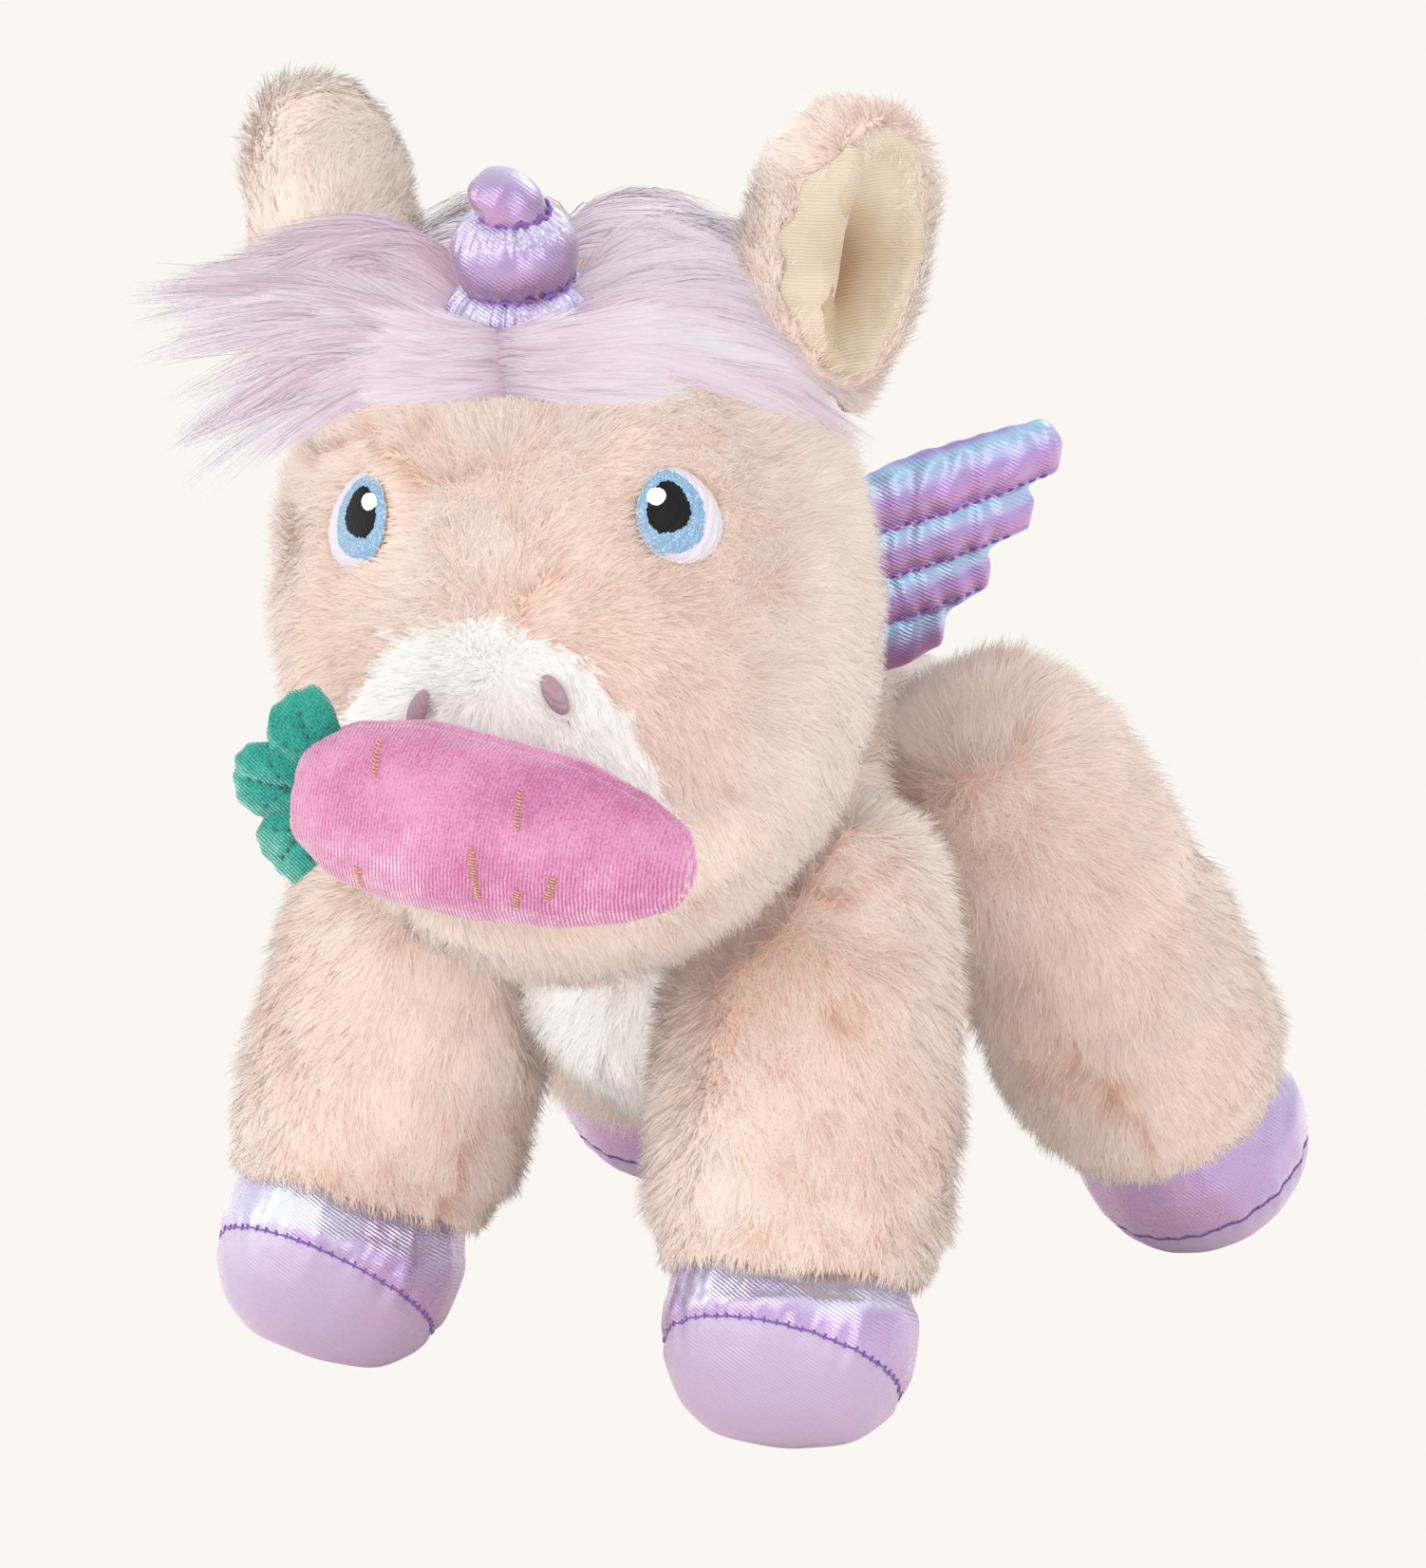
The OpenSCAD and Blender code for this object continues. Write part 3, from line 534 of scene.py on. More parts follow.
def grow(co, tri, keep, comb, per_mm2, length, width, seed, lean=(0.92, 1.35), clump=0.36, shade=0.64):
    """Short pile on a skin. For each vertex, keep says whether it is planted and comb which way it lies."""
    rng = np.random.default_rng(seed)
    nor = normals(co, tri)
    use = tri[keep[tri].all(1)]
    a, b, c = (co[use[:, k]] for k in range(3))
    area = np.linalg.norm(np.cross(b - a, c - a), axis=1) / 2
    total = np.cumsum(area)
    count = int(total[-1] * 1e6 * per_mm2)
    pick = use[np.searchsorted(total, rng.random(count) * total[-1])]
    u, v = rng.random(count), rng.random(count)
    over = u + v > 1
    u, v = np.where(over, 1 - u, u), np.where(over, 1 - v, v)
    w = np.stack([1 - u - v, u, v], 1)[:, :, None]
    root = (co[pick] * w).sum(1)
    n = unit((nor[pick] * w).sum(1))
    lie = (comb[pick] * w).sum(1)
    lie = lie + 0.55 * swirl(root, SWIRL, seed) + clump * slope(root, CLUMP, seed + 5)
    lie = lie + 0.35 * slope(root, RIPPLE, seed + 9)
    lie = lie + 0.22 * rng.standard_normal((count, 3))
    line = noise(root, PARTING, seed + 40) + 0.25 * noise(root, 0.008, seed + 42)
    part = np.exp(-((line / 0.13) ** 2)) * np.clip(0.35 + 1.6 * noise(root, 0.045, seed + 41), 0, 1)
    lie = lie + (0.65 * part * np.sign(line))[:, None] * unit(slope(root, PARTING, seed + 40))
    lie = lie - n * (lie * n).sum(1, keepdims=True)
    amount = np.linalg.norm(lie, axis=1)
    lie = unit(lie)
    tilt = np.clip(amount, 0.6, 1.2)[:, None]
    size = (length[pick] * w[:, :, 0]).sum(1) * rng.uniform(0.75, 1.12, count)
    size = size[:, None]
    first = n * np.cos(lean[0] * tilt) + lie * np.sin(lean[0] * tilt)
    second = n * np.cos(lean[1] * tilt) + lie * np.sin(lean[1] * tilt)
    mid = root + 0.55 * size * first
    tip = mid + 0.45 * size * second
    side = unit(np.cross(first, n + 0.6 * rng.standard_normal((count, 3))))
    flat = np.cross(side, first)
    side = np.where((flat * n).sum(1, keepdims=True) < 0, -side, side)
    tone = shade + 0.26 * noise(root, PATCH, seed + 20) + 0.14 * noise(root, 0.3 * PATCH, seed + 21)
    tone = tone + 0.05 * rng.standard_normal(count)
    # Painted shade: darker strands along the partings.
    tone = tone - 0.5 * part * np.exp(-((line / 0.06) ** 2))
    soft = unit(0.9 * n + 0.3 * lie + [0, 0, 0.25] + 0.12 * rng.standard_normal((count, 3)))
    paths = np.stack([root, mid, tip], 1)
    widths = np.full(count, width) * rng.uniform(0.8, 1.25, count)
    return strands_mesh(paths, widths, side, np.clip(tone, 0.02, 0.98), soft, (1.0, 0.8, 0))


def skin_part(co, tri, faces, shade=0.3, depth=0.1):
    """The backing under the pile: some faces of a skin, in the pile's dark root colour, as painted shade
    under the strands.
    """
    used, sub = part_of(tri, faces)
    uv = np.stack([0.75 * shade + 0.1 * noise(co[used], 0.02, 3), np.full(len(used), depth)], 1)
    return co[used], sub, uv, normals(co, tri)[used]


FORM = {"torso": soft_form(("torso_cover", "belly_panel", "torso_fill"), 2.6, 10),
        "head": soft_form(("head_cover", "muzzle_panel", "head_fill"), 2.6, 12)}
for k in LEGS:
    FORM["leg_" + k] = soft_form((f"leg_{k}_cover", f"leg_{k}_fill"), 2.4, 18)
for s in ("left", "right"):
    FORM["ear_" + s] = soft_form((f"ear_{s}_back",), 1.8, 5)
TREE = {k: tree(*v) for k, v in FORM.items()}
MEASURED = ("torso_cover", "belly_panel", "head_cover", "muzzle_panel", "ear_left_lining", "ear_right_lining")
NODE_TREE = {n: tree(*arrays(NODES[n])) for n in MEASURED}

# Head frame, from the neck's axis and the way the carrot leaves the mouth
HEAD_O = np.array(JOINTS["neck_turn"]["pos_m"])
HEAD_Z = unit(np.array(JOINTS["neck_turn"]["axis"]))
HEAD_Y = -unit(np.array(JOINTS["carrot_pull"]["axis"]))
HEAD_X = np.cross(HEAD_Y, HEAD_Z)
HEAD_R = np.stack([HEAD_X, HEAD_Y, HEAD_Z], 1)


def to_head(p):
    return (p - HEAD_O) @ HEAD_R


def from_head(p):
    return HEAD_O + p @ HEAD_R.T


def hidden_by(co, nor, others, reach=0.0025):
    """True where the pile would stand inside another piece."""
    out = np.zeros(len(co), bool)
    for o in others:
        lo, hi = FORM[o][0].min(0) - 0.004, FORM[o][0].max(0) + 0.004
        near = np.where(((co > lo) & (co < hi)).all(1) & ~out)[0]
        out[near] = inside(co[near] + 0.003 * nor[near], TREE[o]) > -reach
    return out


def plush(form, inset):
    """Backing of a plush piece: its form moved in by the pile's depth, with the form's normals."""
    co, tri = FORM[form]
    nor = normals(co, tri)
    return co - inset * nor, tri, nor


PILE = 9.0 * MM  # length of the body's pile
INSET = 2.8 * MM  # depth of the backing under the CAD cover
WIDTH = 0.26 * MM  # of a strand
DENSITY = 4.6  # strands on a square millimetre


def pad(obj, body, nodes=()):
    """Tie a piece to its body and hide the CAD nodes that it replaces. A blend, given as a tuple, is not
    used: such a piece is only fixed where it stands.
    """
    if isinstance(body, str):
        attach(obj, body)
    else:
        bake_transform(obj)
    if nodes:
        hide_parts(*nodes)
    return obj


def see_through(obj):
    """Strands let the light through, so they neither throw shadows nor dim one another."""
    obj.visible_shadow = obj.visible_diffuse = False
    return obj


def plush_piece(name, skin, strands, material, body, nodes):
    """Backing and pile of one plush piece."""
    pad(pile_object(name, [skin], material), body, nodes)
    pile = see_through(pile_object(name + "_pile", [strands], material))
    pad(pile, body)


# Eyes and nostrils


def discs(node):
    """Centre, outward normal, up and width direction of each of a node's two discs, right one first."""
    co = arrays(NODES[node])[0]
    local = to_head(co)
    out = []
    for sign in (-1, 1):
        sel = co[local[:, 0] * sign > 0]
        mid = sel.mean(0)
        axes = np.linalg.svd(sel - mid, full_matrices=False)[2]
        n = axes[2] * np.sign((mid - HEAD_O) @ axes[2])
        up = unit(HEAD_Z - n * (n @ HEAD_Z))
        out.append((mid, n, up, np.cross(up, n)))
    return out


def patch(outline, rings, dome, lift):
    """Domed disc: outline is points x 2, in metres; returns local points (x, y, height) and triangles."""
    count = len(outline)
    mid = outline.mean(0)
    pts = [np.array([[*mid, lift + dome]])]
    for r in range(1, rings + 1):
        t = r / rings
        q = mid + (outline - mid) * t
        tuck = 0.6 * MM if r == rings else 0
        pts.append(np.column_stack([q, np.full(count, lift + dome * (1 - t * t) - tuck)]))
    return np.concatenate(pts), disc_faces(rings, count)


def egg(w, h, x=0.0, y=0.0, taper=0.15, lean=0.0, ragged=0.0, seed=1, count=72):
    """Egg outline in metres, narrower at the top, with an uneven stitched edge."""
    rng = np.random.default_rng(seed)
    a = np.linspace(0, 2 * math.pi, count, endpoint=False)
    px, py = 0.5 * w * np.cos(a) * (1 - taper * np.sin(a)), 0.5 * h * np.sin(a)
    px = px + lean * py
    jag = 1 + ragged * rng.uniform(-1, 1, count)
    return np.column_stack([x + px * jag, y + py * jag]) * MM


EYE_SPOTS = discs("eye_whites")
EYE_LIFT = 1.3 * MM


NOSE_SPOTS = discs("nostrils")
NOSE_LIFT = 2.9 * MM


def face_layer(name, node, thread, spots, outlines, lift, dome):
    """One layer of embroidery on both sides of the face."""
    parts = []
    for (mid, n, up, right), outline in zip(spots, outlines):
        p, t = patch(outline, 8, dome, lift)
        parts.append((mid + p[:, :1] * right + p[:, 1:2] * up + p[:, 2:3] * n, t))
    pad(add_object(name, *joined(parts), thread), "head", (node,))


def mirrored(left):
    """The same outline for the right and the left eye, outwards being +x on the left."""
    return [(left * [-1, 1])[::-1], left]


EYE_WHITE = mirrored(egg(18.0, 19.4, 0.2, -0.5, 0.12, -0.08, 0.012, 2))
EYE_BLUE = mirrored(egg(15.4, 17.6, -1.2, 0.0, 0.13, 0.0, 0.02, 3))
EYE_BLACK = mirrored(egg(11.0, 12.4, -2.0, 0.9, 0.2, 0.0, 0.03, 4))
EYE_GLINT = mirrored(egg(4.4, 3.9, -4.4, 3.5, 0.0, 0.0, 0.05, 5))
NOSE = [egg(4.6, 8.2, 0, 0, 0.05, lean, 0.02, 6) for lean in (0.36, -0.36)]
GLINT = bpy.data.materials["white_thread"]  # the frame's own plain white
for name, node, slot, thread, outlines, lift, dome in (
    ("eye_white_stitch", "eye_whites", "white_thread", WHITE_THREAD, EYE_WHITE, 0.0, 1.0),
    ("eye_blue_stitch", "eye_irises", "blue_thread", BLUE_THREAD, EYE_BLUE, 0.35, 1.1),
    ("eye_black_stitch", "eye_pupils", "black_thread", BLACK_THREAD, EYE_BLACK, 0.75, 1.1),
    ("eye_glint_stitch", "eye_glints", "white_thread", GLINT, EYE_GLINT, 1.35, 0.6),
):
    face_layer(name, node, thread, EYE_SPOTS, outlines, EYE_LIFT + lift * MM, dome * MM)
face_layer("nostril_stitch", "nostrils", MAUVE_THREAD, NOSE_SPOTS, NOSE, NOSE_LIFT, 0.6 * MM)

# Head

CHIN = -44 * MM  # below this the muzzle is pink
co, tri, nor = plush("head", INSET)
local = to_head(co)
white = nearest(co, NODE_TREE["muzzle_panel"]) < nearest(co, NODE_TREE["head_cover"])
white &= local[:, 2] > CHIN + 0.003 * noise(co, 0.012, 13)
away = unit(local - np.array([0, -0.062, -0.004]))
comb = 0.75 * away + np.array([0, 0, -0.35])
comb = comb @ HEAD_R.T
bare = hidden_by(co, nor, ("torso", "ear_left", "ear_right"))
for spots, outlines, spare in ((EYE_SPOTS, EYE_WHITE, 0.84), (NOSE_SPOTS, NOSE, 0.8)):
    for (mid, n, up, right), outline in zip(spots, outlines):
        d = co - mid
        q = np.stack([d @ right, d @ up], 1) - outline.mean(0)
        r = np.abs(outline - outline.mean(0)).max(0) * spare
        bare |= (((q / r) ** 2).sum(1) < 1) & (np.abs(d @ n) < 0.012)
length = np.full(len(co), PILE) * np.where(white, 0.8, 1.0)
eye_near = np.min([np.linalg.norm(co - s[0], axis=1) for s in EYE_SPOTS + NOSE_SPOTS], 0)
length *= np.clip((eye_near - 0.006) / 0.02, 0.58, 1)
mid, n, up, right = EYE_SPOTS[0]
bridge = np.exp(-((((co - mid) @ right - 10 * MM) / (5 * MM)) ** 2) - (((co - mid) @ up) / (9 * MM)) ** 2)
length *= 1 + 0.5 * bridge
comb = comb - 1.2 * bridge[:, None] * right
face_white = white[tri].sum(1) >= 2
for name, faces, node, slot, material, seed, shade in (
    ("head_plush", ~face_white, ("head_cover", "head_fill"), "blush_plush", PINK, 11, 0.62),
    ("muzzle_plush", face_white, ("muzzle_panel",), "white_plush", WHITE, 12, 0.85),
):
    strands = grow(co, tri[faces], ~bare, comb, DENSITY, length, WIDTH, seed, shade=shade)
    plush_piece(name, skin_part(co, tri, faces, shade), strands, material, "head", node)

# Torso

co, tri, nor = plush("torso", INSET)
white = nearest(co, NODE_TREE["belly_panel"]) < nearest(co, NODE_TREE["torso_cover"])
bare = hidden_by(co, nor, ["head"] + ["leg_" + k for k in LEGS])
comb = np.repeat(np.array([[0, 0.45, -0.55]]), len(co), 0)
face_white = white[tri].sum(1) >= 2
for name, faces, node, slot, material, seed, shade in (
    ("torso_plush", ~face_white, ("torso_cover", "torso_fill"), "blush_plush", PINK, 21, 0.7),
    ("belly_plush", face_white, ("belly_panel",), "white_plush", WHITE, 22, 0.85),
):
    strands = grow(co, tri[faces], ~bare, comb, DENSITY, np.full(len(co), PILE), WIDTH, seed, shade=shade)
    plush_piece(name, skin_part(co, tri, faces, shade), strands, material, "torso", node)

# Legs

HEM = {k: 1.3 if k == "rear_right" else 0.6 for k in LEGS}  # pile at the hem, as a share of the full length
for i, k in enumerate(LEGS):
    hip = np.array(JOINTS[f"leg_{k}_swing"]["pos_m"])
    sole = arrays(NODES["sole_" + k])[0].mean(0)
    down = unit(sole - hip)
    co, tri, nor = plush("leg_" + k, INSET)
    reach = (co - hip) @ down
    hem = reach.max() - 3 * MM
    radial = co - hip - reach[:, None] * down
    co = co - radial * (0.34 * np.clip((reach - hem + 1 * MM) / (4 * MM), 0, 1))[:, None]
    bare = hidden_by(co, nor, ["torso", "head"])
    bare |= reach > hem
    side = hip[0] / abs(hip[0])
    high = np.clip((0.03 - reach) / 0.04, 0, 1)[:, None]
    comb = (1 - 0.7 * high) * 0.8 * down + high * np.array([0.25 * side, 0.7, 0.1])
    fullest = 1.5 if HEM[k] > 1 else 1.0
    length = PILE * np.clip((hem - reach) / (14 * MM), HEM[k], fullest)
    strands = grow(co, tri, ~bare, comb, DENSITY, length, WIDTH, 31 + i)
    joint = ("torso", "leg_" + k, hip + 0.005 * down - [0.02 * side, 0, 0], hip + 0.045 * down)
    plush_piece(f"leg_{k}_plush", skin_part(co, tri, np.ones(len(tri), bool)), strands, PINK, joint,
                (f"leg_{k}_cover", f"leg_{k}_fill"))

# Hooves


def ring_tube(path, radius, sides=6, closed=True):
    """Tube of mesh along a path of points x 3."""
    count = len(path)
    ahead = np.roll(path, -1, 0) - np.roll(path, 1, 0)
    if not closed:
        ahead[0], ahead[-1] = path[1] - path[0], path[-1] - path[-2]
    ahead = unit(ahead)
    ref = np.where(np.abs(ahead[:, 2:3]) > 0.9, [[1.0, 0, 0]], [[0, 0, 1.0]])
    x = unit(np.cross(ahead, ref))
    y = np.cross(ahead, x)
    a = np.linspace(0, 2 * math.pi, sides, endpoint=False)
    r = np.broadcast_to(np.asarray(radius, float), (count,))
    circle = np.cos(a)[None, :, None] * x[:, None] + np.sin(a)[None, :, None] * y[:, None]
    co = (path[:, None] + r[:, None, None] * circle).reshape(-1, 3)
    tri = ring_faces(count + 1 if closed else count, sides)[:, ::-1] % (count * sides)
    if not closed:
        ends = len(co)
        co = np.concatenate([co, path[:1] - ahead[:1] * r[0] * 0.6, path[-1:] + ahead[-1:] * r[-1] * 0.6])
        last = (count - 1) * sides
        s = np.arange(sides)
        t = (s + 1) % sides
        near = np.column_stack([0 * s + ends, s, t])
        far = np.column_stack([0 * s + ends + 1, last + t, last + s])
        tri = np.concatenate([tri, near, far])
    return co, tri


def stitch(a, b, radius, lift, n, points=5):
    """One raised stitch from a to b, bowed outwards along n."""
    t = np.linspace(0, 1, points)[:, None]
    path = a + (b - a) * t + n * lift * np.sin(math.pi * t)
    return ring_tube(path, radius * (0.55 + 0.45 * np.sin(math.pi * t[:, 0])), 5, False)


SEAM_POINTS = 244
SEAM_STEP = 4
for i, k in enumerate(LEGS):
    rng = np.random.default_rng(51 + i)
    hip = np.array(JOINTS[f"leg_{k}_swing"]["pos_m"])
    up_co, sole_co = arrays(NODES["hoof_" + k])[0], arrays(NODES["sole_" + k])[0]
    co, tri = soft_form(("hoof_" + k, "sole_" + k), 1.3, 34)
    nor = normals(co, tri)
    shared = up_co[np.min(np.linalg.norm(up_co[:, None] - sole_co[None], axis=2), axis=1) < 2e-5]
    base = shared.mean(0)
    axis = np.linalg.svd(shared - base)[2][2]
    axis = axis * np.sign(axis @ (hip - base))
    h = (co - base) @ axis
    flat = co - base - h[:, None] * axis
    x = unit(np.cross(axis, [0, 0, 1.0]) if abs(axis[2]) < 0.9 else np.cross(axis, [0, 1.0, 0]))
    y = np.cross(axis, x)
    angle = np.arctan2(flat @ y, flat @ x)
    near = np.exp(-((h / (4.5 * MM)) ** 2))
    pucker = np.sin(angle * 30 + 2.5 * noise(co, 0.012, 61)) * 0.00022 + np.sin(angle * 17 + 1.3) * 0.00016
    dent = 0.0007 * np.exp(-((h / (1.6 * MM)) ** 2))
    on_floor = co[:, 2] < 0.0004
    move = near * pucker - dent + 0.0005 * noise(co, 0.016, 62) + 0.0005
    co = co + nor * np.where(on_floor, 0, move)[:, None]
    co[:, 2] = np.maximum(co[:, 2], 0.0)
    leg_way = unit(hip - base)
    rise = (co - base) @ leg_way
    co = co + leg_way * (7 * MM * np.clip((rise - rise.max() + 2.5 * MM) / (2 * MM), 0, 1))[:, None]
    low = h[tri].mean(1) < 0
    bvh = tree(co, tri)
    for name, faces, node, slot, material in ((f"hoof_{k}_foil", ~low, f"hoof_{k}", "foil_cloth", FOIL),
                                              (f"sole_{k}_foil", low, f"sole_{k}", "sole_foil", SOLE)):
        used, sub = part_of(tri, faces)
        pad(add_object(name, co[used], sub, material), "leg_" + k, (node,))
    ring, out = [], []
    for a in np.linspace(0, 2 * math.pi, SEAM_POINTS, endpoint=False):
        d = math.cos(a) * x + math.sin(a) * y
        hit = bvh.ray_cast(Vector(base + 0.06 * d), Vector(-d))
        ring.append(np.array(hit[0]))
        out.append(d)
    ring, out = np.array(ring), np.array(out)
    parts = [ring_tube(ring + 0.0001 * out, 0.00022)]
    for j in range(0, SEAM_POINTS, SEAM_STEP):
        skew = rng.uniform(-0.35, 0.35) * MM
        along = unit(ring[(j + 1) % SEAM_POINTS] - ring[j])
        long = rng.uniform(1.0, 1.9) * MM
        low_end, high_end = ring[j] - 0.5 * MM * axis, ring[j] + long * axis + skew * along
        parts.append(stitch(low_end, high_end, 0.24 * MM, 0.3 * MM, out[j]))
    pad(add_object(f"hoof_{k}_seam", *joined(parts), THREAD), "leg_" + k)

# Ears

FOLD_LOW, FOLD_HIGH = -19, 23  # ends of the lining's fold along the ear, in mm from the lining's middle
FOLD_ROWS = 44
# Inner side of the fold: how far in, as a share of its width there, and how high over the ear in mm
FOLD_LIP = ((-0.7, -7.0), (-1.0, -2.0), (-1.0, 1.0), (-0.74, 2.4), (-0.3, 2.9))
FOLD_OUT = 7  # points on its outer side


def lining_fold(s, axis, tall, face, mid, side):
    """Fold of the lining turned out over the rim of the ear, on one side of it."""
    ear, cup = TREE["ear_" + s], NODE_TREE[f"ear_{s}_lining"]

    def surface(w, h, bvh):
        return bvh.ray_cast(Vector(mid + axis * side * w * MM + tall * h * MM + face * 0.04), Vector(-face))

    found = []
    for h in np.linspace(FOLD_LOW, FOLD_HIGH, FOLD_ROWS):
        for w in np.arange(0, 22, 0.5):
            a, b = surface(w, h, ear), surface(w, h, cup)
            if a[0] is not None and (b[0] is None or a[3] < b[3] - 0.3 * MM):
                found.append((h, w))
                break
    found = np.array(found)
    smooth = np.polynomial.Polynomial.fit(found[:, 0], found[:, 1], 4)
    rows = []
    for h in np.linspace(found[0, 0], found[-1, 0], FOLD_ROWS):
        rim = smooth(h)
        if surface(rim, h, ear)[0] is None:
            continue
        edge = np.array(surface(rim, h, ear)[0])
        swell = math.sin(math.pi * (h - FOLD_LOW) / (FOLD_HIGH - FOLD_LOW))
        wide = 2.0 + 5.0 * swell**0.8 + 0.7 * math.sin(h * 0.55)
        over = 2.2 + 2.6 * swell
        row = [edge + axis * side * w * over * MM + face * up * MM for w, up in FOLD_LIP]
        for k in range(FOLD_OUT):
            t = k / (FOLD_OUT - 1)
            hit = surface(rim + wide * t, h, ear)
            if hit[0] is None:
                break
            rise = 2.9 - 2.2 * t**1.5 + 0.35 * math.sin(h * 0.8 + k * 0.5)
            row.append(np.array(hit[0]) + face * rise * MM)
        if len(row) == len(FOLD_LIP) + FOLD_OUT:
            rows.append(row)
    top = np.array(rows)
    top[1:-1] = 0.5 * top[1:-1] + 0.25 * (top[2:] + top[:-2])
    count, across = len(top), 2 * top.shape[1]
    grid = np.concatenate([top, top[:, ::-1] - 0.5 * MM * face], 1)
    tri = ring_faces(count, across).tolist()
    for i in (0, count - 1):
        for j in range(across // 2 - 1):
            a, b, c, d = (i * across + k for k in (j, j + 1, across - 2 - j, across - 1 - j))
            tri += [(a, c, b), (a, d, c)] if i == 0 else [(a, b, c), (a, c, d)]
    co, tri = grid.reshape(-1, 3), np.array(tri)
    if (normals(co, tri).reshape(count, across, 3)[:, 6] @ face).mean() < 0:
        tri = tri[:, ::-1]
    return co, tri


def covered(co, way, bvh, reach=0.008):
    """True where a piece lies over a point."""
    return np.array([bvh.ray_cast(Vector(p), Vector(way), reach)[0] is not None for p in co])


for i, s in enumerate(("left", "right")):
    joint = JOINTS[f"ear_{s}_fold"]
    foot, axis = np.array(joint["pos_m"]), np.array(joint["axis"])
    co, tri, nor = plush("ear_" + s, 0)
    tall = unit(co.mean(0) - foot)
    lining = arrays(NODES[f"ear_{s}_lining"])[0].mean(0)
    face = unit(np.cross(tall, axis))
    face = face * np.sign(face @ (lining - co.mean(0)))
    toward = 1 if axis @ np.array([0, -1, 0]) > 0 else -1
    folds = [lining_fold(s, axis, tall, face, lining, toward)] if s == "left" else []
    gap = nearest(co, NODE_TREE[f"ear_{s}_lining"])
    co = co - nor * (3.2 * MM * np.clip(gap / (7 * MM) - 0.2, 0, 1))[:, None]
    past = co - 2.4 * MM * unit(lining - co)
    bare = hidden_by(co, nor, ("head",)) | covered(past, face, NODE_TREE[f"ear_{s}_lining"])
    for fold in folds:
        bare |= covered(past, face, tree(*fold))
    inward = unit(lining - co) * np.exp(-gap / 0.004)[:, None]
    crown = np.clip(((co - lining) @ tall - 8 * MM) / (10 * MM), 0, 1)[:, None]
    comb = 0.7 * (1 - crown) * tall - 0.9 * crown * face + 0.5 * inward
    strands = grow(co, tri, ~bare, comb, DENSITY, np.full(len(co), 0.66 * PILE), WIDTH, 71 + i, shade=0.72)
    blend = ("head", "ear_" + s, foot + 0.002 * tall, foot + 0.02 * tall)
    plush_piece(f"ear_{s}_plush", skin_part(co, tri, np.ones(len(tri), bool), 0.9, 0.3), strands, PINK, blend,
                (f"ear_{s}_back",))
    co, tri = soft_form((f"ear_{s}_lining",), 0.8, 3)
    nor = normals(co, tri)
    wide, high = (co - lining) @ axis, (co - lining) @ tall
    ridge = np.sin((wide * 0.5 + high * 0.8) / (3.1 * MM) + 1.8 * noise(co, 0.02, 81))
    co = co + nor * 0.9 * MM + face * (0.9 * MM * ridge + 0.4 * MM * noise(co, 0.007, 82))[:, None]
    obj = add_object(f"ear_{s}_satin", *joined([(co, tri), *folds]), SATIN)
    # Painted shade in the cup: strongest a little to the fold's side of the middle, and below it.
    cup_shade = np.exp(-(((wide * toward - 4 * MM) / (9 * MM)) ** 2) - ((high + 3 * MM) / (12 * MM)) ** 2)
    point_values(obj, "depth", np.concatenate([cup_shade] + [np.zeros(len(f[0])) for f in folds]))
    pad(obj, "ear_" + s, (f"ear_{s}_lining",))

# Horn

HORN_BASE = np.array([1.6, -32.2, 63.4]) * MM
HORN_LEAN = math.radians(14)
HORN_UP = np.array([0, -math.sin(HORN_LEAN), math.cos(HORN_LEAN)])
HORN_SIDE = np.array([1.0, 0, 0])
HORN_FACE = np.cross(HORN_UP, HORN_SIDE)


def horn_tier(profile, lean, pleats, seed, around=200):
    """Gathered tier. Profile rows are height, radius and pleat depth in mm; lean shifts a row sideways."""
    rng = np.random.default_rng(seed)
    a = np.linspace(0, 2 * math.pi, around, endpoint=False)
    wave = np.zeros(around)
    for count in (pleats, pleats + 5, pleats - 4):
        wave += np.abs(np.sin(count * a / 2 + rng.uniform(0, 6)))
    wave = wave / 3 - 0.55
    co = []
    for (z, r, depth), (dx, dy) in zip(profile, lean):
        rr = r + 2.2 * depth * wave
        co.append(np.column_stack([rr * np.cos(a) + dx, rr * np.sin(a) + dy, np.full(around, z)]))
    ends = [np.array([[*lean[k], profile[k][0]]]) for k in (0, -1)]
    return np.concatenate(co + ends) * MM, closed_faces(len(co), around)


def horn_place(p):
    """Points of the horn's own frame, moved to the head."""
    return from_head(HORN_BASE + p[:, :1] * HORN_SIDE + p[:, 1:2] * HORN_FACE + p[:, 2:] * HORN_UP)


def lobe(z0, z1, r, low, high, gather_low, gather_high, fade, rows=26):
    """Profile of a stuffed tier between two gathers. Low and high are end radii, fade is the pleats' run."""
    out = []
    for i in range(rows):
        t = i / (rows - 1)
        end = low if t < 0.5 else high
        rad = end + (r - end) * math.sin(math.pi * t) ** 0.5
        depth = gather_low * math.exp(-((t / fade) ** 2)) + gather_high * math.exp(-(((1 - t) / fade) ** 2))
        out.append((z0 + (z1 - z0) * t, rad, depth))
    return out


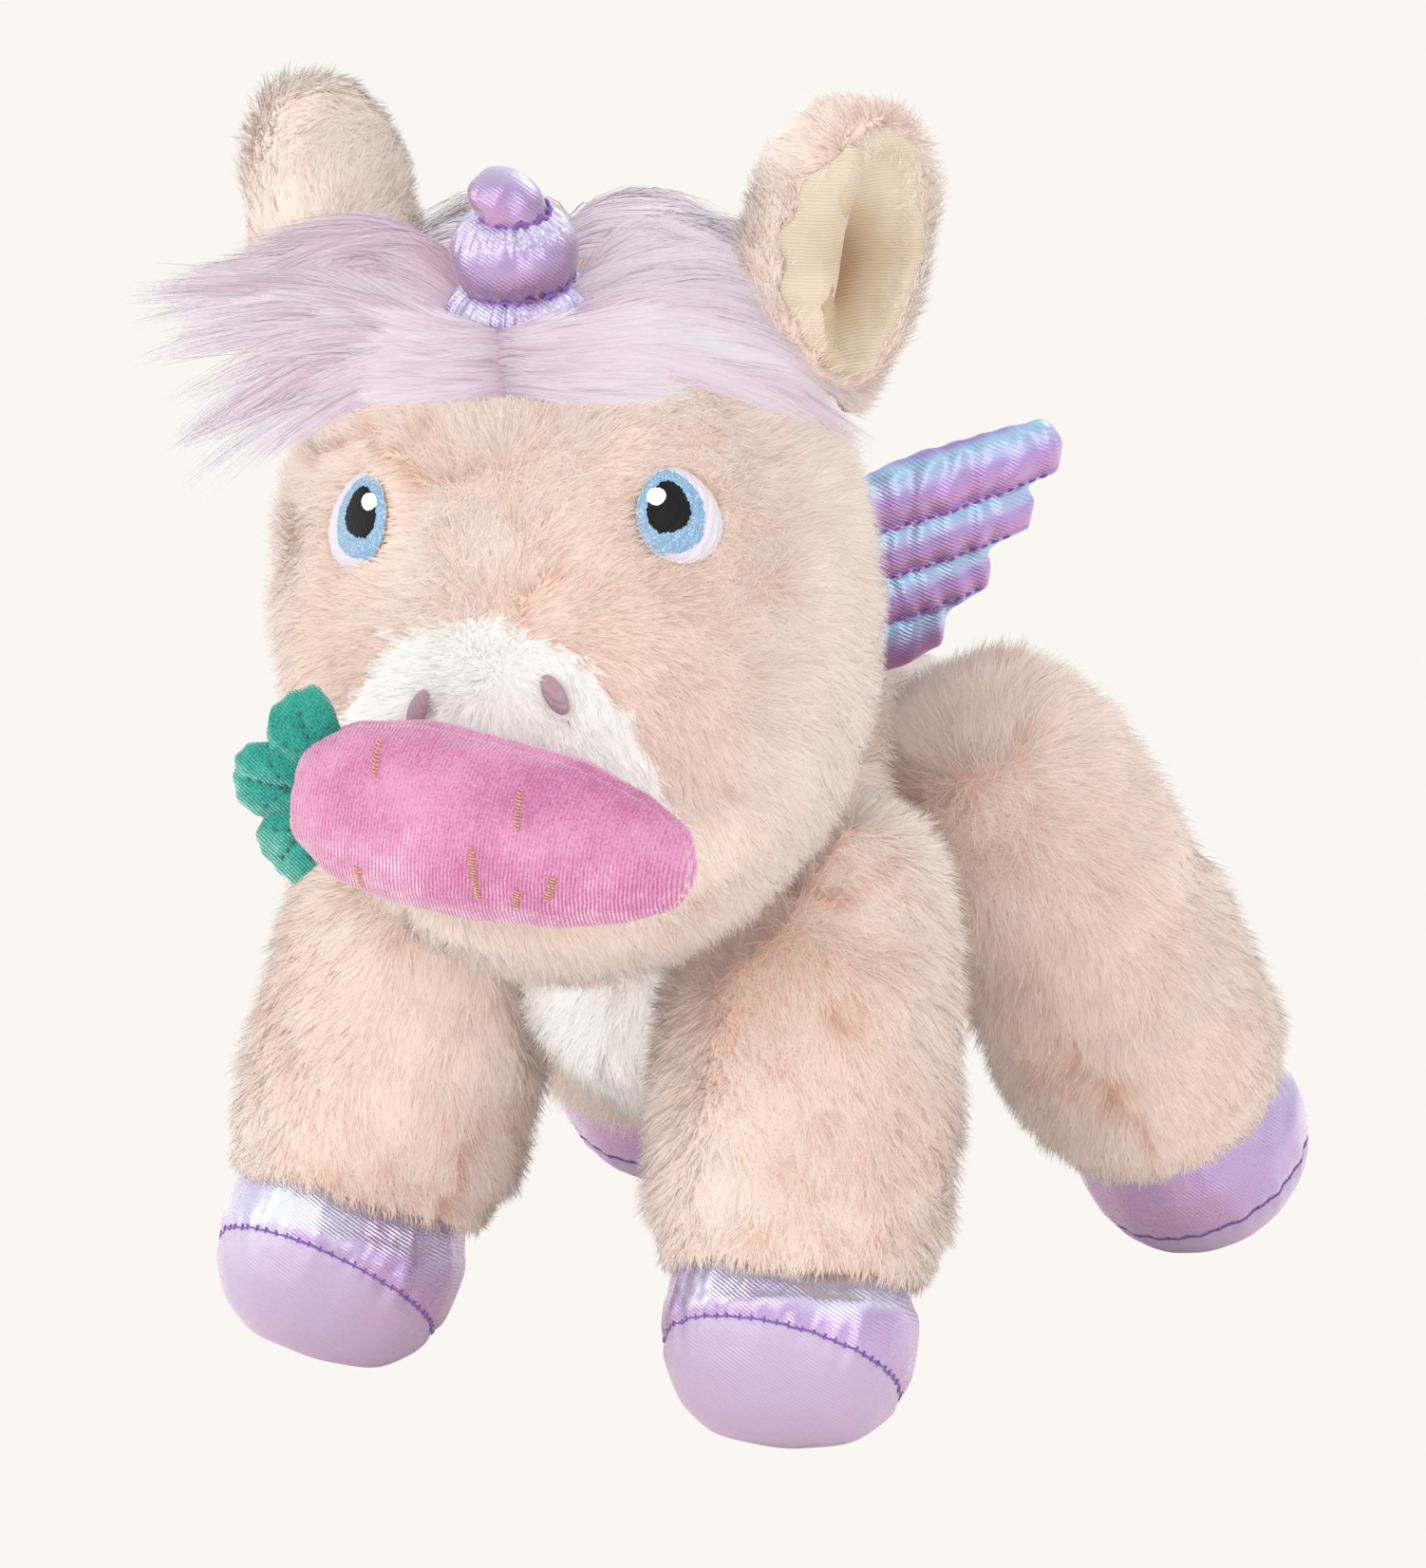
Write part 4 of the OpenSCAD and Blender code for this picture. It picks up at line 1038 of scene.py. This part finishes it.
def horn_tip(rows=30, around=72):
    """The last tier: a bean that bends over to one side and ends in a pinched swirl."""
    s = np.linspace(0, 1, rows)[:, None]
    ends = np.array([[1.2, -0.6, 20.6], [0.8, -0.8, 29.6], [-7.6, -1.4, 27.0]])
    mid = (1 - s) ** 2 * ends[0] + 2 * s * (1 - s) * ends[1] + s**2 * ends[2]
    ahead = unit(2 * (1 - s) * (ends[1] - ends[0]) + 2 * s * (ends[2] - ends[1]))
    across = np.cross(ahead, [0, 1.0, 0])
    at, radii = (0, 0.12, 0.3, 0.55, 0.78, 0.9, 0.96, 1), (5.0, 6.4, 7.0, 6.8, 5.6, 4.2, 2.9, 1.2)
    rad = np.interp(s[:, 0], at, radii)
    mid = mid - ahead * (1.5 * np.clip((s - 0.94) / 0.06, 0, 1))
    a = np.linspace(0, 2 * math.pi, around, endpoint=False) + 0 * s
    curl = 1 + 0.10 * np.clip((s - 0.55) / 0.45, 0, 1) * np.sin(3 * a + 9 * s)
    curl = curl + 0.16 * np.exp(-((s / 0.12) ** 2)) * np.abs(np.sin(9 * a))
    ring = np.cos(a)[..., None] * across[:, None] + np.sin(a)[..., None] * np.array([0, 1.0, 0])
    co = mid[:, None] + (rad[:, None] * curl)[..., None] * ring
    co = np.concatenate([co.reshape(-1, 3), mid[:1], mid[-1:] - 0.8 * ahead[-1:]])
    co, tri, n = co * MM, closed_faces(rows, around), rows * around
    turned = (normals(co, tri)[:n] * (co[:n] - np.repeat(mid, around, 0) * MM)).sum(1).mean() < 0
    return co, tri[:, ::-1] if turned else tri


SKIRT_TOP, BALL_TOP = 9.4, 24.4
skirt = lobe(-6, SKIRT_TOP, 15.6, 12.5, 8.6, 0.1, 1.1, 0.5)
ball = lobe(7.4, BALL_TOP, 12.7, 8.0, 5.0, 0.7, 1.1, 0.22)
horn_parts = [horn_tier(skirt, [(0, 0)] * len(skirt), 26, 91),
              horn_tier(ball, [(-0.03 * i, 0) for i in range(len(ball))], 24, 92),
              horn_tip()]
# Painted highlights: sparkle flecks at the upper gather of the skirt and of the ball, and over the tip's end.
silver = []
for top, part in zip((SKIRT_TOP, BALL_TOP), horn_parts):
    silver.append(np.exp(-(((top * MM - part[0][:, 2]) / (5 * MM)) ** 2)))
silver.append(0.6 * (horn_parts[2][0][:, 0] < -8 * MM))
co, tri = joined(horn_parts)
co = horn_place(co)
co = co + normals(co, tri) * (0.0002 * noise(co, 0.006, 94))[:, None]
obj = add_object("horn_foil", co, tri, HORN)
point_values(obj, "silver", np.concatenate(silver))
pad(obj, "head", ("horn",))
thread_parts = []
for z, r, dx, count in ((8.7, 11.0, 0.0, 30), (23.7, 7.3, 0.6, 20)):
    a = np.linspace(0, 2 * math.pi, count * 6, endpoint=False)
    path = np.column_stack([r * np.cos(a) + dx, r * np.sin(a), z + 0.55 * np.sin(a * count / 2)]) * MM
    thread_parts.append(ring_tube(horn_place(path), 0.00045))
pad(add_object("horn_thread", *joined(thread_parts), THREAD), "head")

# Mane and tail


def head_radius(direction):
    """Distance from the head's middle to its skin along head directions."""
    out = np.empty(len(direction))
    for i, d in enumerate(direction @ HEAD_R.T):
        hit = TREE["head"].ray_cast(Vector(HEAD_O), Vector(d))
        out[i] = hit[3] if hit[0] is not None else 0.06
    return out


def long_taper(points):
    """Width of a long strand along its length."""
    return np.concatenate([[0.7], np.linspace(1, 0.45, points - 2), [0]])


def long_strands(paths, width, shade, seed):
    """Long silky strands along their paths, facing away from the head."""
    rng = np.random.default_rng(seed)
    count, points = paths.shape[:2]
    ahead = unit(paths[:, 1] - paths[:, 0])
    out = unit(paths.mean(1) - HEAD_O)
    side = unit(np.cross(ahead, out + 0.5 * rng.standard_normal((count, 3))))
    soft = unit(out + [0, 0, 0.5] + 0.12 * rng.standard_normal((count, 3)))
    return strands_mesh(paths, width * rng.uniform(0.7, 1.3, count), side, shade, soft, long_taper(points))


def guided(guides, count, seed, thick, stray, tone, spread, points=12):
    """Strands between guide curves, each a row of head points in mm, drawn together into locks."""
    rng = np.random.default_rng(seed)
    guides = np.array(guides) * MM
    fine = np.linspace(0, 1, points)
    knots = np.linspace(0, 1, guides.shape[1])
    curves = np.stack([[np.interp(fine, knots, g[:, a]) for a in range(3)] for g in guides])
    curves = curves.transpose(0, 2, 1)
    for _ in range(3):
        curves[:, 1:-1] = 0.5 * curves[:, 1:-1] + 0.25 * (curves[:, 2:] + curves[:, :-2])
    locks = 90
    lock = rng.integers(0, locks, count)
    lead = rng.random((locks, 7))[lock]
    own = rng.standard_normal((count, 6))
    last = len(guides) - 1

    def curve_at(at):
        k = np.minimum(at.astype(int), last - 1)
        f = (at - k)[:, None, None]
        return curves[k] * (1 - f) + curves[k + 1] * f

    at = np.clip(lead[:, 0] * 1.1 - 0.05 + 0.045 * own[:, 0], 0, 1) * last
    p, leader = curve_at(at), curve_at(np.clip(lead[:, 0] * 1.1 - 0.05, 0, 1) * last)
    start = np.clip(0.5 * lead[:, 6] ** 2 - 0.03 + 0.03 * own[:, 1], 0, 1)
    long = np.clip(0.38 + 0.5 * lead[:, 1] ** 1.5 + 0.07 * own[:, 2], 0.2, 1)
    long = np.minimum(long, (1 - start) * (0.62 + 0.38 * rng.random(count)))
    t = np.clip(start[:, None] + fine[None] * long[:, None], 0, 1)
    pull = (0.95 * np.linspace(0, 1, points) ** 1.1)[None, :, None]

    def sample(curve):
        cut = np.clip(t * (points - 1), 0, points - 1.001)
        i = cut.astype(int)
        w = (cut - i)[..., None]
        rows = np.arange(count)[:, None]
        return curve[rows, i] * (1 - w) + curve[rows, np.minimum(i + 1, points - 1)] * w

    p = sample(p) * (1 - pull) + sample(leader) * pull
    out = unit(p)
    r = head_radius(out.reshape(-1, 3)).reshape(count, points)
    p = out * np.maximum(np.linalg.norm(p, axis=2), r + 0.8 * MM)[..., None]
    layer = np.clip(0.5 * lead[:, 2] + 0.5 * rng.random(count), 0, 1)
    rise = thick * layer[:, None] * np.sin(np.clip(fine * 2.0, 0, 1) * math.pi / 2)[None] * (1 - 0.35 * t)
    p = p + out * (rise * MM - 2.0 * MM * (1 - np.clip(fine * 8, 0, 1))[None])[..., None]
    loose = (lead[:, 3:6] - 0.5) * stray * MM
    p = p + loose[:, None] * (fine**2)[None, :, None]
    p = p + own[:, None, 3:6] * (0.5 * MM) * (0.2 + fine)[None, :, None]
    shade = tone + spread * (at / last - 0.5) + 0.08 * own[:, 1] + 0.55 * (lead[:, 4] - 0.5)
    # Painted shade: strands lower in the hair are darker.
    shade = np.clip(shade + 0.35 * (layer - 0.5), 0.02, 0.98)
    p = from_head(p.reshape(-1, 3)).reshape(count, points, 3)
    return long_strands(p, np.full(count, 0.29 * MM), shade, seed + 1)


# Guide curves of the hair, from root to tip, in mm of the head frame
SWEEP_LEFT = [
    [[-9, -26, 68], [-19, -26, 76], [-28, -28, 79], [-38, -31, 77], [-48, -34, 72]],
    [[-6, -34, 64], [-21, -27, 71], [-34, -29, 75], [-47, -33, 73], [-58, -37, 70]],
    [[-2.6, -39.8, 58.7], [-24.5, -22, 65.7], [-41.2, -25, 70.6], [-57.5, -30, 70.5], [-70.7, -34, 67.8]],
    [[-2.2, -41.3, 56.6], [-21.7, -31, 62.1], [-38.3, -35, 67.1], [-56, -40, 69], [-79, -46, 68.6]],
    [[-1.5, -42.5, 54.9], [-17.9, -37, 58], [-32.6, -40, 61.6], [-49, -45, 60.1], [-69, -51, 55.4]],
    [[-0.9, -43.5, 53.6], [-15.7, -41, 53.1], [-33.2, -37, 48.3], [-48.5, -41, 42], [-68, -48, 27]],
]
SWEEP_RIGHT = [
    [[2, -42.7, 54.6], [16.5, -40, 53.8], [30.1, -33.2, 51.7], [42.7, -22.7, 46.6], [52, -7, 38.1]],
    [[2.3, -42, 55.6], [19.4, -35.7, 58], [35.7, -24.7, 53.7], [49, -9.3, 44.3], [62, -4, 32.2]],
    [[2.8, -41, 57], [18.5, -31.8, 62.5], [34.2, -17.9, 60.2], [46.9, -0.3, 49.5], [59.5, 3, 36.4]],
    [[5.6, -38.3, 60.7], [17.7, -21, 68.4], [29.3, -3, 67.3], [44.3, 3.4, 58.6], [56.1, 6, 43.7]],
    [[12.7, -22.7, 69.6], [17.4, -6, 73], [29.4, 2, 75.5], [40.7, 7, 66.8], [49.7, 8, 54.7]],
]
TUFT_LEFT = [
    [[4, -48.5, 64], [-3, -50.5, 64.5], [-11, -49, 65.5], [-20, -44, 66.5], [-30, -38, 68]],
    [[4, -49, 60.5], [-4, -51, 61], [-13, -49, 61.5], [-23, -44, 62], [-33, -38, 62]],
    [[4, -48.5, 56.5], [-5, -50.5, 56.5], [-14, -48, 56.5], [-24, -43.5, 56], [-34, -38, 55]],
    [[4, -47, 52.5], [-5, -49, 51.5], [-14, -47.5, 51], [-24, -43.5, 50], [-34, -38, 48]],
]
TUFT_RIGHT = [
    [[-1, -48.5, 64], [6, -50.5, 64.5], [14, -48.5, 65.5], [23, -42.5, 66.5], [33, -35, 67]],
    [[-1, -49, 60.5], [7, -51, 61], [16, -48, 61.5], [26, -41.5, 62], [36, -33, 61]],
    [[-1, -48.5, 56.5], [8, -50.5, 56.5], [17, -47, 56.5], [27, -40.5, 56], [37, -32, 54]],
    [[-1, -47, 52.5], [8, -49, 51.5], [17, -46, 51], [27, -40, 50], [37, -31, 47]],
]
MANE_COUNT = 13000
parts = [guided(SWEEP_LEFT, MANE_COUNT, 101, 10.0, 9.0, 0.42, 0.25),
         guided(SWEEP_RIGHT, MANE_COUNT, 103, 11.0, 9.0, 0.68, 0.1),
         guided(TUFT_LEFT, MANE_COUNT // 3, 111, 2.5, 4.0, 0.6, 0.1),
         guided(TUFT_RIGHT, MANE_COUNT // 3, 113, 2.5, 4.0, 0.7, 0.1)]
obj = see_through(pile_object("forelock_hair", parts, MANE))
pad(obj, "head", ("forelock",))


def crest(count, seed, points=8):
    """Mane from the crown to the nape, parted in the middle."""
    rng = np.random.default_rng(seed)
    locks = 40
    lock = rng.integers(0, locks, count)
    lead = rng.random((locks, 5))[lock]
    own = rng.standard_normal((count, 5))
    turn = np.radians(70 + 92 * np.clip(lead[:, 0] + 0.05 * own[:, 0], 0, 1))
    side = np.sign(lead[:, 1] - 0.45) * (0.25 + np.abs(lead[:, 1] - 0.45) * 1.6)
    t = np.linspace(0, 1, points)
    across = side[:, None] * (32 * t[None] - 1.0) * (0.8 + 0.4 * lead[:, 2:3])
    ahead = turn[:, None] + np.radians(14 * t[None] * (0.4 + lead[:, 3:4]))
    a = np.radians(across)
    way = np.stack([np.sin(a), -np.cos(ahead) * np.cos(a), np.sin(ahead) * np.cos(a)], -1)
    r = head_radius(way.reshape(-1, 3)).reshape(count, points)
    lift = (3 + 7 * lead[:, 4] + own[:, 2])[:, None] * MM
    rise = lift * np.sin(np.clip(t * 2.0, 0, 1) * math.pi / 2)[None]
    sunk = 2.5 * MM * (1 - np.clip(t * 6, 0, 1))[None]
    p = way * (r + rise - sunk)[..., None]
    p = from_head(p.reshape(-1, 3)).reshape(count, points, 3)
    p = p + (0.9 * MM * rng.standard_normal((count, 1, 3))) * t[None, :, None]
    shade = np.clip(0.75 + 0.2 * own[:, 3], 0.02, 0.98)
    return long_strands(p, np.full(count, 0.46 * MM), shade, seed + 1)


obj = see_through(pile_object("crest_hair", [crest(int(0.9 * MANE_COUNT), 107)], MANE))
pad(obj, "head", ("mane_crest",))


TAIL_ROOT = np.array(JOINTS["tail_lift"]["pos_m"])
TAIL_AT = (0, 0.12, 0.3, 0.5, 0.65, 0.86, 1, 1.06)  # shares of the tail's length
TAIL_RADII = (6, 9, 11, 13.6, 13.6, 11.6, 7.5, 4)  # in mm, there


def tail_hair(count, seed, points=11):
    """Tail of pointed locks, gathered at the root; each lock is round and ends at its own length."""
    rng = np.random.default_rng(seed)
    co = arrays(NODES["tail"])[0]
    end = co[np.argmin(co[:, 2] - 0.4 * co[:, 1])]
    down = unit(end - TAIL_ROOT)
    x = np.array([1.0, 0, 0])
    y = np.cross(down, x)
    locks = 72
    lock = rng.integers(0, locks, count)
    lead = rng.random((locks, 5))[lock]
    own = rng.random((count, 3))
    t = np.linspace(0, 1, points)[None]
    turn = 2 * math.pi * lead[:, 0]
    reach = np.linalg.norm(end - TAIL_ROOT)
    length = reach * (1.06 - 0.2 * lead[:, 2:3])
    rad = np.interp(length * t / reach, TAIL_AT, TAIL_RADII) * MM * np.sqrt(lead[:, 1:2])
    spin = 2 * math.pi * own[:, 0]
    tuft = 3.1 * MM * np.sqrt(own[:, 1:2]) * np.interp(t, [0, 0.3, 0.7, 1], [0.6, 1.0, 0.85, 0.1])
    sway = 1.8 * MM * np.sin(2.4 * math.pi * t + 6 * lead[:, 3:4]) * t
    across = rad * np.cos(turn)[:, None] + tuft * np.cos(spin)[:, None] + sway
    out = rad * np.sin(turn)[:, None] + tuft * np.sin(spin)[:, None]
    p = TAIL_ROOT + (length * t)[..., None] * down + across[..., None] * x + out[..., None] * y
    around = (np.cos(turn) + 0.9 * np.cos(spin))[:, None] * x
    around = around + (np.sin(turn) + 0.9 * np.sin(spin))[:, None] * y
    side = unit(np.cross(down, around + 0.2 * rng.standard_normal((count, 3))))
    shade = np.clip(0.6 + 0.6 * (lead[:, 4] - 0.5) + 0.5 * (own[:, 2] - 0.5), 0.02, 0.98)
    soft = unit(unit(around) + [0, 0, 1.1])
    return strands_mesh(p, np.full(count, 0.4 * MM), side, shade, soft, long_taper(points))


obj = see_through(pile_object("tail_hair", [tail_hair(MANE_COUNT, 109)], MANE))
blend = ("torso", "tail", TAIL_ROOT + [0, -0.004, 0.0], TAIL_ROOT + [0, 0.012, -0.01])
pad(obj, blend, ("tail",))

# Wings

WING_LENGTH = 56 * MM
QUILL = math.radians(15)  # rise of the feathers from the wing's hinge
FEATHER_AT = np.array([0.64, 0.43, 0.23, 0.05]) * WING_LENGTH * math.cos(QUILL)
FEATHER_LENGTH = np.array([1, 0.9, 0.73, 0.55]) * WING_LENGTH
EDGE = 8.5 * MM
BETWEEN = (FEATHER_AT[1:] + FEATHER_AT[:-1]) / 2
BANDS = np.concatenate([[FEATHER_AT[0] + EDGE], BETWEEN, [FEATHER_AT[-1] - EDGE]])
LEAN, TURN = math.radians(12), math.radians(40)
for s in ("left", "right"):
    joint = JOINTS[f"wing_{s}_flap"]
    root = np.array(joint["pos_m"])
    side = 1 if s == "left" else -1
    out = np.array(joint["axis"]) * side
    up = [side * math.sin(LEAN) * math.cos(TURN), -math.sin(LEAN) * math.sin(TURN), math.cos(LEAN)]
    up = unit(np.array(up))
    face = np.cross(out, up)
    quill = math.cos(QUILL) * out + math.sin(QUILL) * up
    across = math.cos(QUILL) * up - math.sin(QUILL) * out
    co, tri = soft_form((f"wing_{s}",), 1.0, 4)
    nor = normals(co, tri)
    q = (co - root) @ quill
    h = (co - root) @ across
    wrinkle = 0.00035 * np.sin(q * 900 + 4 * noise(co, 0.012, 123)) * np.abs(nor @ face)
    co = co + nor * (0.0004 * noise(co, 0.009, 121) + 0.0002 * noise(co, 0.004, 122) + wrinkle)[:, None]
    band = np.clip(np.searchsorted(-BANDS, -h) - 1, 0, 3)
    u = (BANDS[band] - h) / (BANDS[band] - BANDS[band + 1])
    obj = add_object(f"wing_{s}_foil", co, tri, WING)
    bake_uv(obj, tri, np.stack([u, q / (70 * MM)], 1))
    hinge = (root + [0, 0, -0.004], root + [0, 0, 0.008])
    pad(obj, ("torso", f"wing_{s}", *hinge), (f"wing_{s}",))
    bvh = tree(co, tri)
    parts = []
    for b in range(1, 4):
        for way in (1, -1):
            marks = []
            for reach in np.arange(6 * MM, FEATHER_LENGTH[b] + 10 * MM, 0.9 * MM):
                start = root + quill * reach + across * BANDS[b] + way * face * 0.03
                hit = bvh.ray_cast(Vector(start), Vector(-way * face))
                if hit[0] is not None and hit[3] < 0.032:
                    marks.append(np.array(hit[0]))
            for j in range(0, len(marks) - 2, 3):
                parts.append(stitch(marks[j], marks[j + 2], 0.00022, 0.00025, way * face))
    thread = add_object(f"wing_{s}_stitches", *joined(parts), THREAD)
    pad(thread, ("torso", f"wing_{s}", *hinge))

# Carrot

co, tri = soft_form(("carrot_cover", "carrot_fill"), 1.1, 14)
mid = co.mean(0)
axes = np.linalg.svd(co - mid, full_matrices=False)[2]
CARROT_AXIS = axes[0] * np.sign(axes[0] @ HEAD_X)
CARROT_UP = unit(np.cross(CARROT_AXIS, HEAD_Y))
CARROT_UP = CARROT_UP * np.sign(CARROT_UP @ HEAD_Z)
COVER = arrays(NODES["carrot_cover"])[0]
CARROT_AT = (COVER.min(0) + COVER.max(0)) / 2
nor = normals(co, tri)
depth = (co - CARROT_AT) @ HEAD_Y
along = (co - CARROT_AT) @ CARROT_AXIS
seam = np.exp(-((depth / (1.1 * MM)) ** 2))
pinch = seam * (0.8 * MM + 0.25 * MM * np.sin(along / (0.55 * MM)))
co = co + nor * (0.4 * MM + 0.5 * MM * noise(co, 0.013, 131) - pinch)[:, None]
VELVET = velvet_material("carrot_velvet", "a45c84", "bd82a3", "dcc0cf", tuple(CARROT_AXIS), 0.00075)
obj = add_object("carrot_velvet", co, tri, VELVET)
pad(obj, "carrot", ("carrot_cover", "carrot_fill"))


# Ends of the carrot's stitched marks: along the carrot and above its middle, in mm
CARROT_MARKS = ((-22, 14.6, -20.6, 8.7), (8.1, 11.7, 9.6, 4.8), (1.4, -0.4, 3.3, -10.8),
                (17.9, -3.6, 16.8, -9), (11.1, -7.6, 10.8, -11.6), (-22, -10.3, -21.7, -14.8))


def on_front(bvh, x, y):
    """Point on the carrot's front, from its place along the carrot and above its middle in mm."""
    start = CARROT_AT + CARROT_AXIS * x * MM + CARROT_UP * y * MM - HEAD_Y * 0.06
    hit = bvh.ray_cast(Vector(start), Vector(HEAD_Y))
    return None if hit[0] is None else np.array(hit[0])


def stitched_line(bvh, x0, y0, x1, y1, count, radius):
    """Row of short stitches between two points of the front."""
    ends = [on_front(bvh, x0 + (x1 - x0) * t, y0 + (y1 - y0) * t) for t in np.linspace(0, 1, 2 * count)]
    pairs = [(a, b) for a, b in zip(ends[::2], ends[1::2]) if a is not None and b is not None]
    return [stitch(a, b, radius, 0.0004, -HEAD_Y) for a, b in pairs]


bvh = tree(co, tri)
parts = []
for x0, y0, x1, y1 in CARROT_MARKS:
    for t in np.arange(0, 1, 0.62 / math.hypot(x1 - x0, y1 - y0)):
        x, y = x0 + (x1 - x0) * t, y0 + (y1 - y0) * t
        parts += stitched_line(bvh, x - 0.75, y + 0.15, x + 0.75, y - 0.15, 1, 0.00026)
pad(add_object("carrot_stitches", *joined(parts), COPPER), "carrot")
LEAF = velvet_material("leaf_velvet", "0d6b61", "2e9384", "68bcae", (0.5, 0.5, 0.7), 0.0006)
LEAF_AT = ((COVER - CARROT_AT) @ CARROT_AXIS).min() / MM + 8
VEIN = 58  # degrees between the middles of neighbouring leaves
RINGS = 26
turn = np.radians(np.linspace(-104, 104, 160))
notch = 5.2 * (1 - np.abs(np.cos(turn * math.pi / math.radians(VEIN)))) ** 1.6
edge = 21.8 - notch - 0.25 * np.sin(turn * 31)
edge = edge * np.clip((math.radians(114) - np.abs(turn)) / 0.75, 0, 1) ** 0.7
outline = np.column_stack([-edge * np.cos(turn), edge * np.sin(turn)])
middle = np.array([-9.0, 0.0])
pts, height = [np.array([middle])], [np.ones(1)]
for r in range(1, RINGS + 1):
    pts.append(middle + (outline - middle) * r / RINGS)
    height.append(np.full(len(turn), (1 - (r / RINGS) ** 2.6) ** 0.6))
pts, height = np.concatenate(pts), np.concatenate(height)
far, bend = np.hypot(*pts.T), np.arctan2(pts[:, 1], -pts[:, 0])
vein = np.min([np.abs(bend - math.radians(f)) for f in (-VEIN, 0, VEIN)], 0) * far
fold = np.min([np.abs(bend - math.radians(f)) for f in (-VEIN / 2, VEIN / 2)], 0) * far
dip = 0.3 * np.exp(-((fold / 1.6) ** 2)) * np.clip(far / 12, 0, 1)
swell = 4.9 * height * (1 - dip - 0.16 * np.exp(-((vein / 0.9) ** 2)))
wave = 1.6 * np.sin(bend * 3.1 + 0.6) * (far / 20) ** 2 - 0.9 * np.cos(bend * 6.2) * (far / 20) ** 3
flat = np.column_stack([pts, np.zeros(len(pts))])
grain = 0.45 * noise(flat * MM, 0.005, 133)
count, ring = len(pts), len(turn)
top = np.column_stack([pts, wave + swell + grain * height])
under = np.column_stack([pts, wave - swell + grain * height])[: count - ring]
tri = disc_faces(RINGS, ring)
back = np.where(tri < count - ring, tri + count, tri)[:, ::-1]
leaf = np.concatenate([top, under]) * MM
tri = np.concatenate([tri, back])
co = CARROT_AT + (leaf[:, :1] + LEAF_AT * MM) * CARROT_AXIS + leaf[:, 1:2] * CARROT_UP - leaf[:, 2:] * HEAD_Y
if (normals(co, tri)[0] @ HEAD_Y) > 0:
    tri = tri[:, ::-1]
obj = add_object("leaf_velvet", co, tri, LEAF)
pad(obj, "carrot", ("carrot_leaves",))
bvh = tree(co, tri)
parts = []
for f in np.radians((-VEIN, 0, VEIN)):
    x, y = -math.cos(f), math.sin(f)
    parts += stitched_line(bvh, LEAF_AT + 8 * x, 8 * y, LEAF_AT + 18 * x, 18 * y, 5, 0.0003)
    for turn in (-0.35, 0.35):
        x1, y1 = -14.5 * math.cos(f + turn), 14.5 * math.sin(f + turn)
        parts += stitched_line(bvh, LEAF_AT + 9 * x, 9 * y, LEAF_AT + x1, y1, 3, 0.00026)
pad(add_object("leaf_stitches", *joined(parts), TEAL), "carrot")

# Magnets

for n in ("mouth_magnet", "carrot_magnet"):
    NODES[n].data.materials.clear()
    NODES[n].data.materials.append(STEEL)

# Stage

BACK = "faf7f2"
FLOOR = 3.0  # half of its side
UNDER = -0.5 * MM

m = Nodes(bpy.data.materials.new("floor"))
m.by_ray(m.add("Emission", Color=srgb(BACK)), m.add("BsdfDiffuse", Color=(0.92, 0.9, 0.88)), "OutputMaterial")
corners = [[x * FLOOR, y * FLOOR, UNDER] for x, y in ((-1, -1), (1, -1), (1, 1), (-1, 1))]
add_object("floor", np.array(corners), np.array([[0, 1, 2], [0, 2, 3]]), m.owner)

# Sky light by height, from the ground (0) to straight up (1)
SKY = 1.55
SKY_TINT = np.array([1, 0.985, 0.97])
m = Nodes(bpy.data.worlds.new("studio"))
scene.world = m.owner
up = m.add("SeparateXYZ", Vector=m.add("TexCoord").outputs["Generated"]).outputs[2]
tint = m.add("ValToRGB")
m.put(tint.inputs[0], m.math("ADD", m.math("MULTIPLY", up, 0.5), 0.5))
stops = tint.color_ramp.elements
for at, level in ((0.48, 0.70), (0.6, 0.62), (0.76, 0.88)):
    stops.new(at).color = [*(level * SKY_TINT), 1]
stops[0].color = [0.75, 0.74, 0.73, 1]
stops[-1].color = [*SKY_TINT, 1]
sky = m.add("Background", Color=tint.outputs[0], Strength=SKY)
m.by_ray(m.add("Background", Color=srgb(BACK)), sky, "OutputWorld")


def softbox(name, at, aim, size, watts, color=(1, 1, 1)):
    """Studio light: a rectangle that faces a point."""
    lamp = bpy.data.lights.new(name, "AREA")
    lamp.shape, lamp.size, lamp.size_y = "RECTANGLE", size[0], size[1]
    lamp.energy, lamp.color = watts, color
    obj = bpy.data.objects.new(name, lamp)
    scene.collection.objects.link(obj)
    obj.location = at
    obj.rotation_euler = (Vector(aim) - Vector(at)).to_track_quat("-Z", "Y").to_euler()


AIM = (0, 0, 0.13)
softbox("key", (-0.15, -1.5, 0.75), AIM, (0.9, 0.7), 8, (1.0, 0.98, 0.95))
softbox("left", (-1.1, -0.75, 0.55), AIM, (0.5, 0.9), 5)
softbox("right", (1.3, -0.75, 0.45), AIM, (0.5, 0.9), 6)
softbox("rim", (0.3, 1.2, 1.1), AIM, (1.0, 0.6), 5)

# Camera

AZ, EL = math.radians(30.0), math.radians(13.7)
EYE = Vector((0.7094, -1.2182, 0.4671))
right = Vector((math.cos(AZ), math.sin(AZ), 0))
ahead = Vector((-math.sin(AZ) * math.cos(EL), math.cos(AZ) * math.cos(EL), -math.sin(EL)))
above = right.cross(ahead)
lens = bpy.data.cameras.new("camera")
lens.sensor_width = 36
lens.lens = 18 * 7142.857 / 826
lens.clip_start, lens.clip_end = 0.05, 20
cam = bpy.data.objects.new("camera", lens)
scene.collection.objects.link(cam)
cam.matrix_world = Matrix(((right.x, above.x, -ahead.x, EYE.x), (right.y, above.y, -ahead.y, EYE.y),
                           (right.z, above.z, -ahead.z, EYE.z), (0, 0, 0, 1)))
scene.camera = cam
scene.view_settings.view_transform = "Standard"
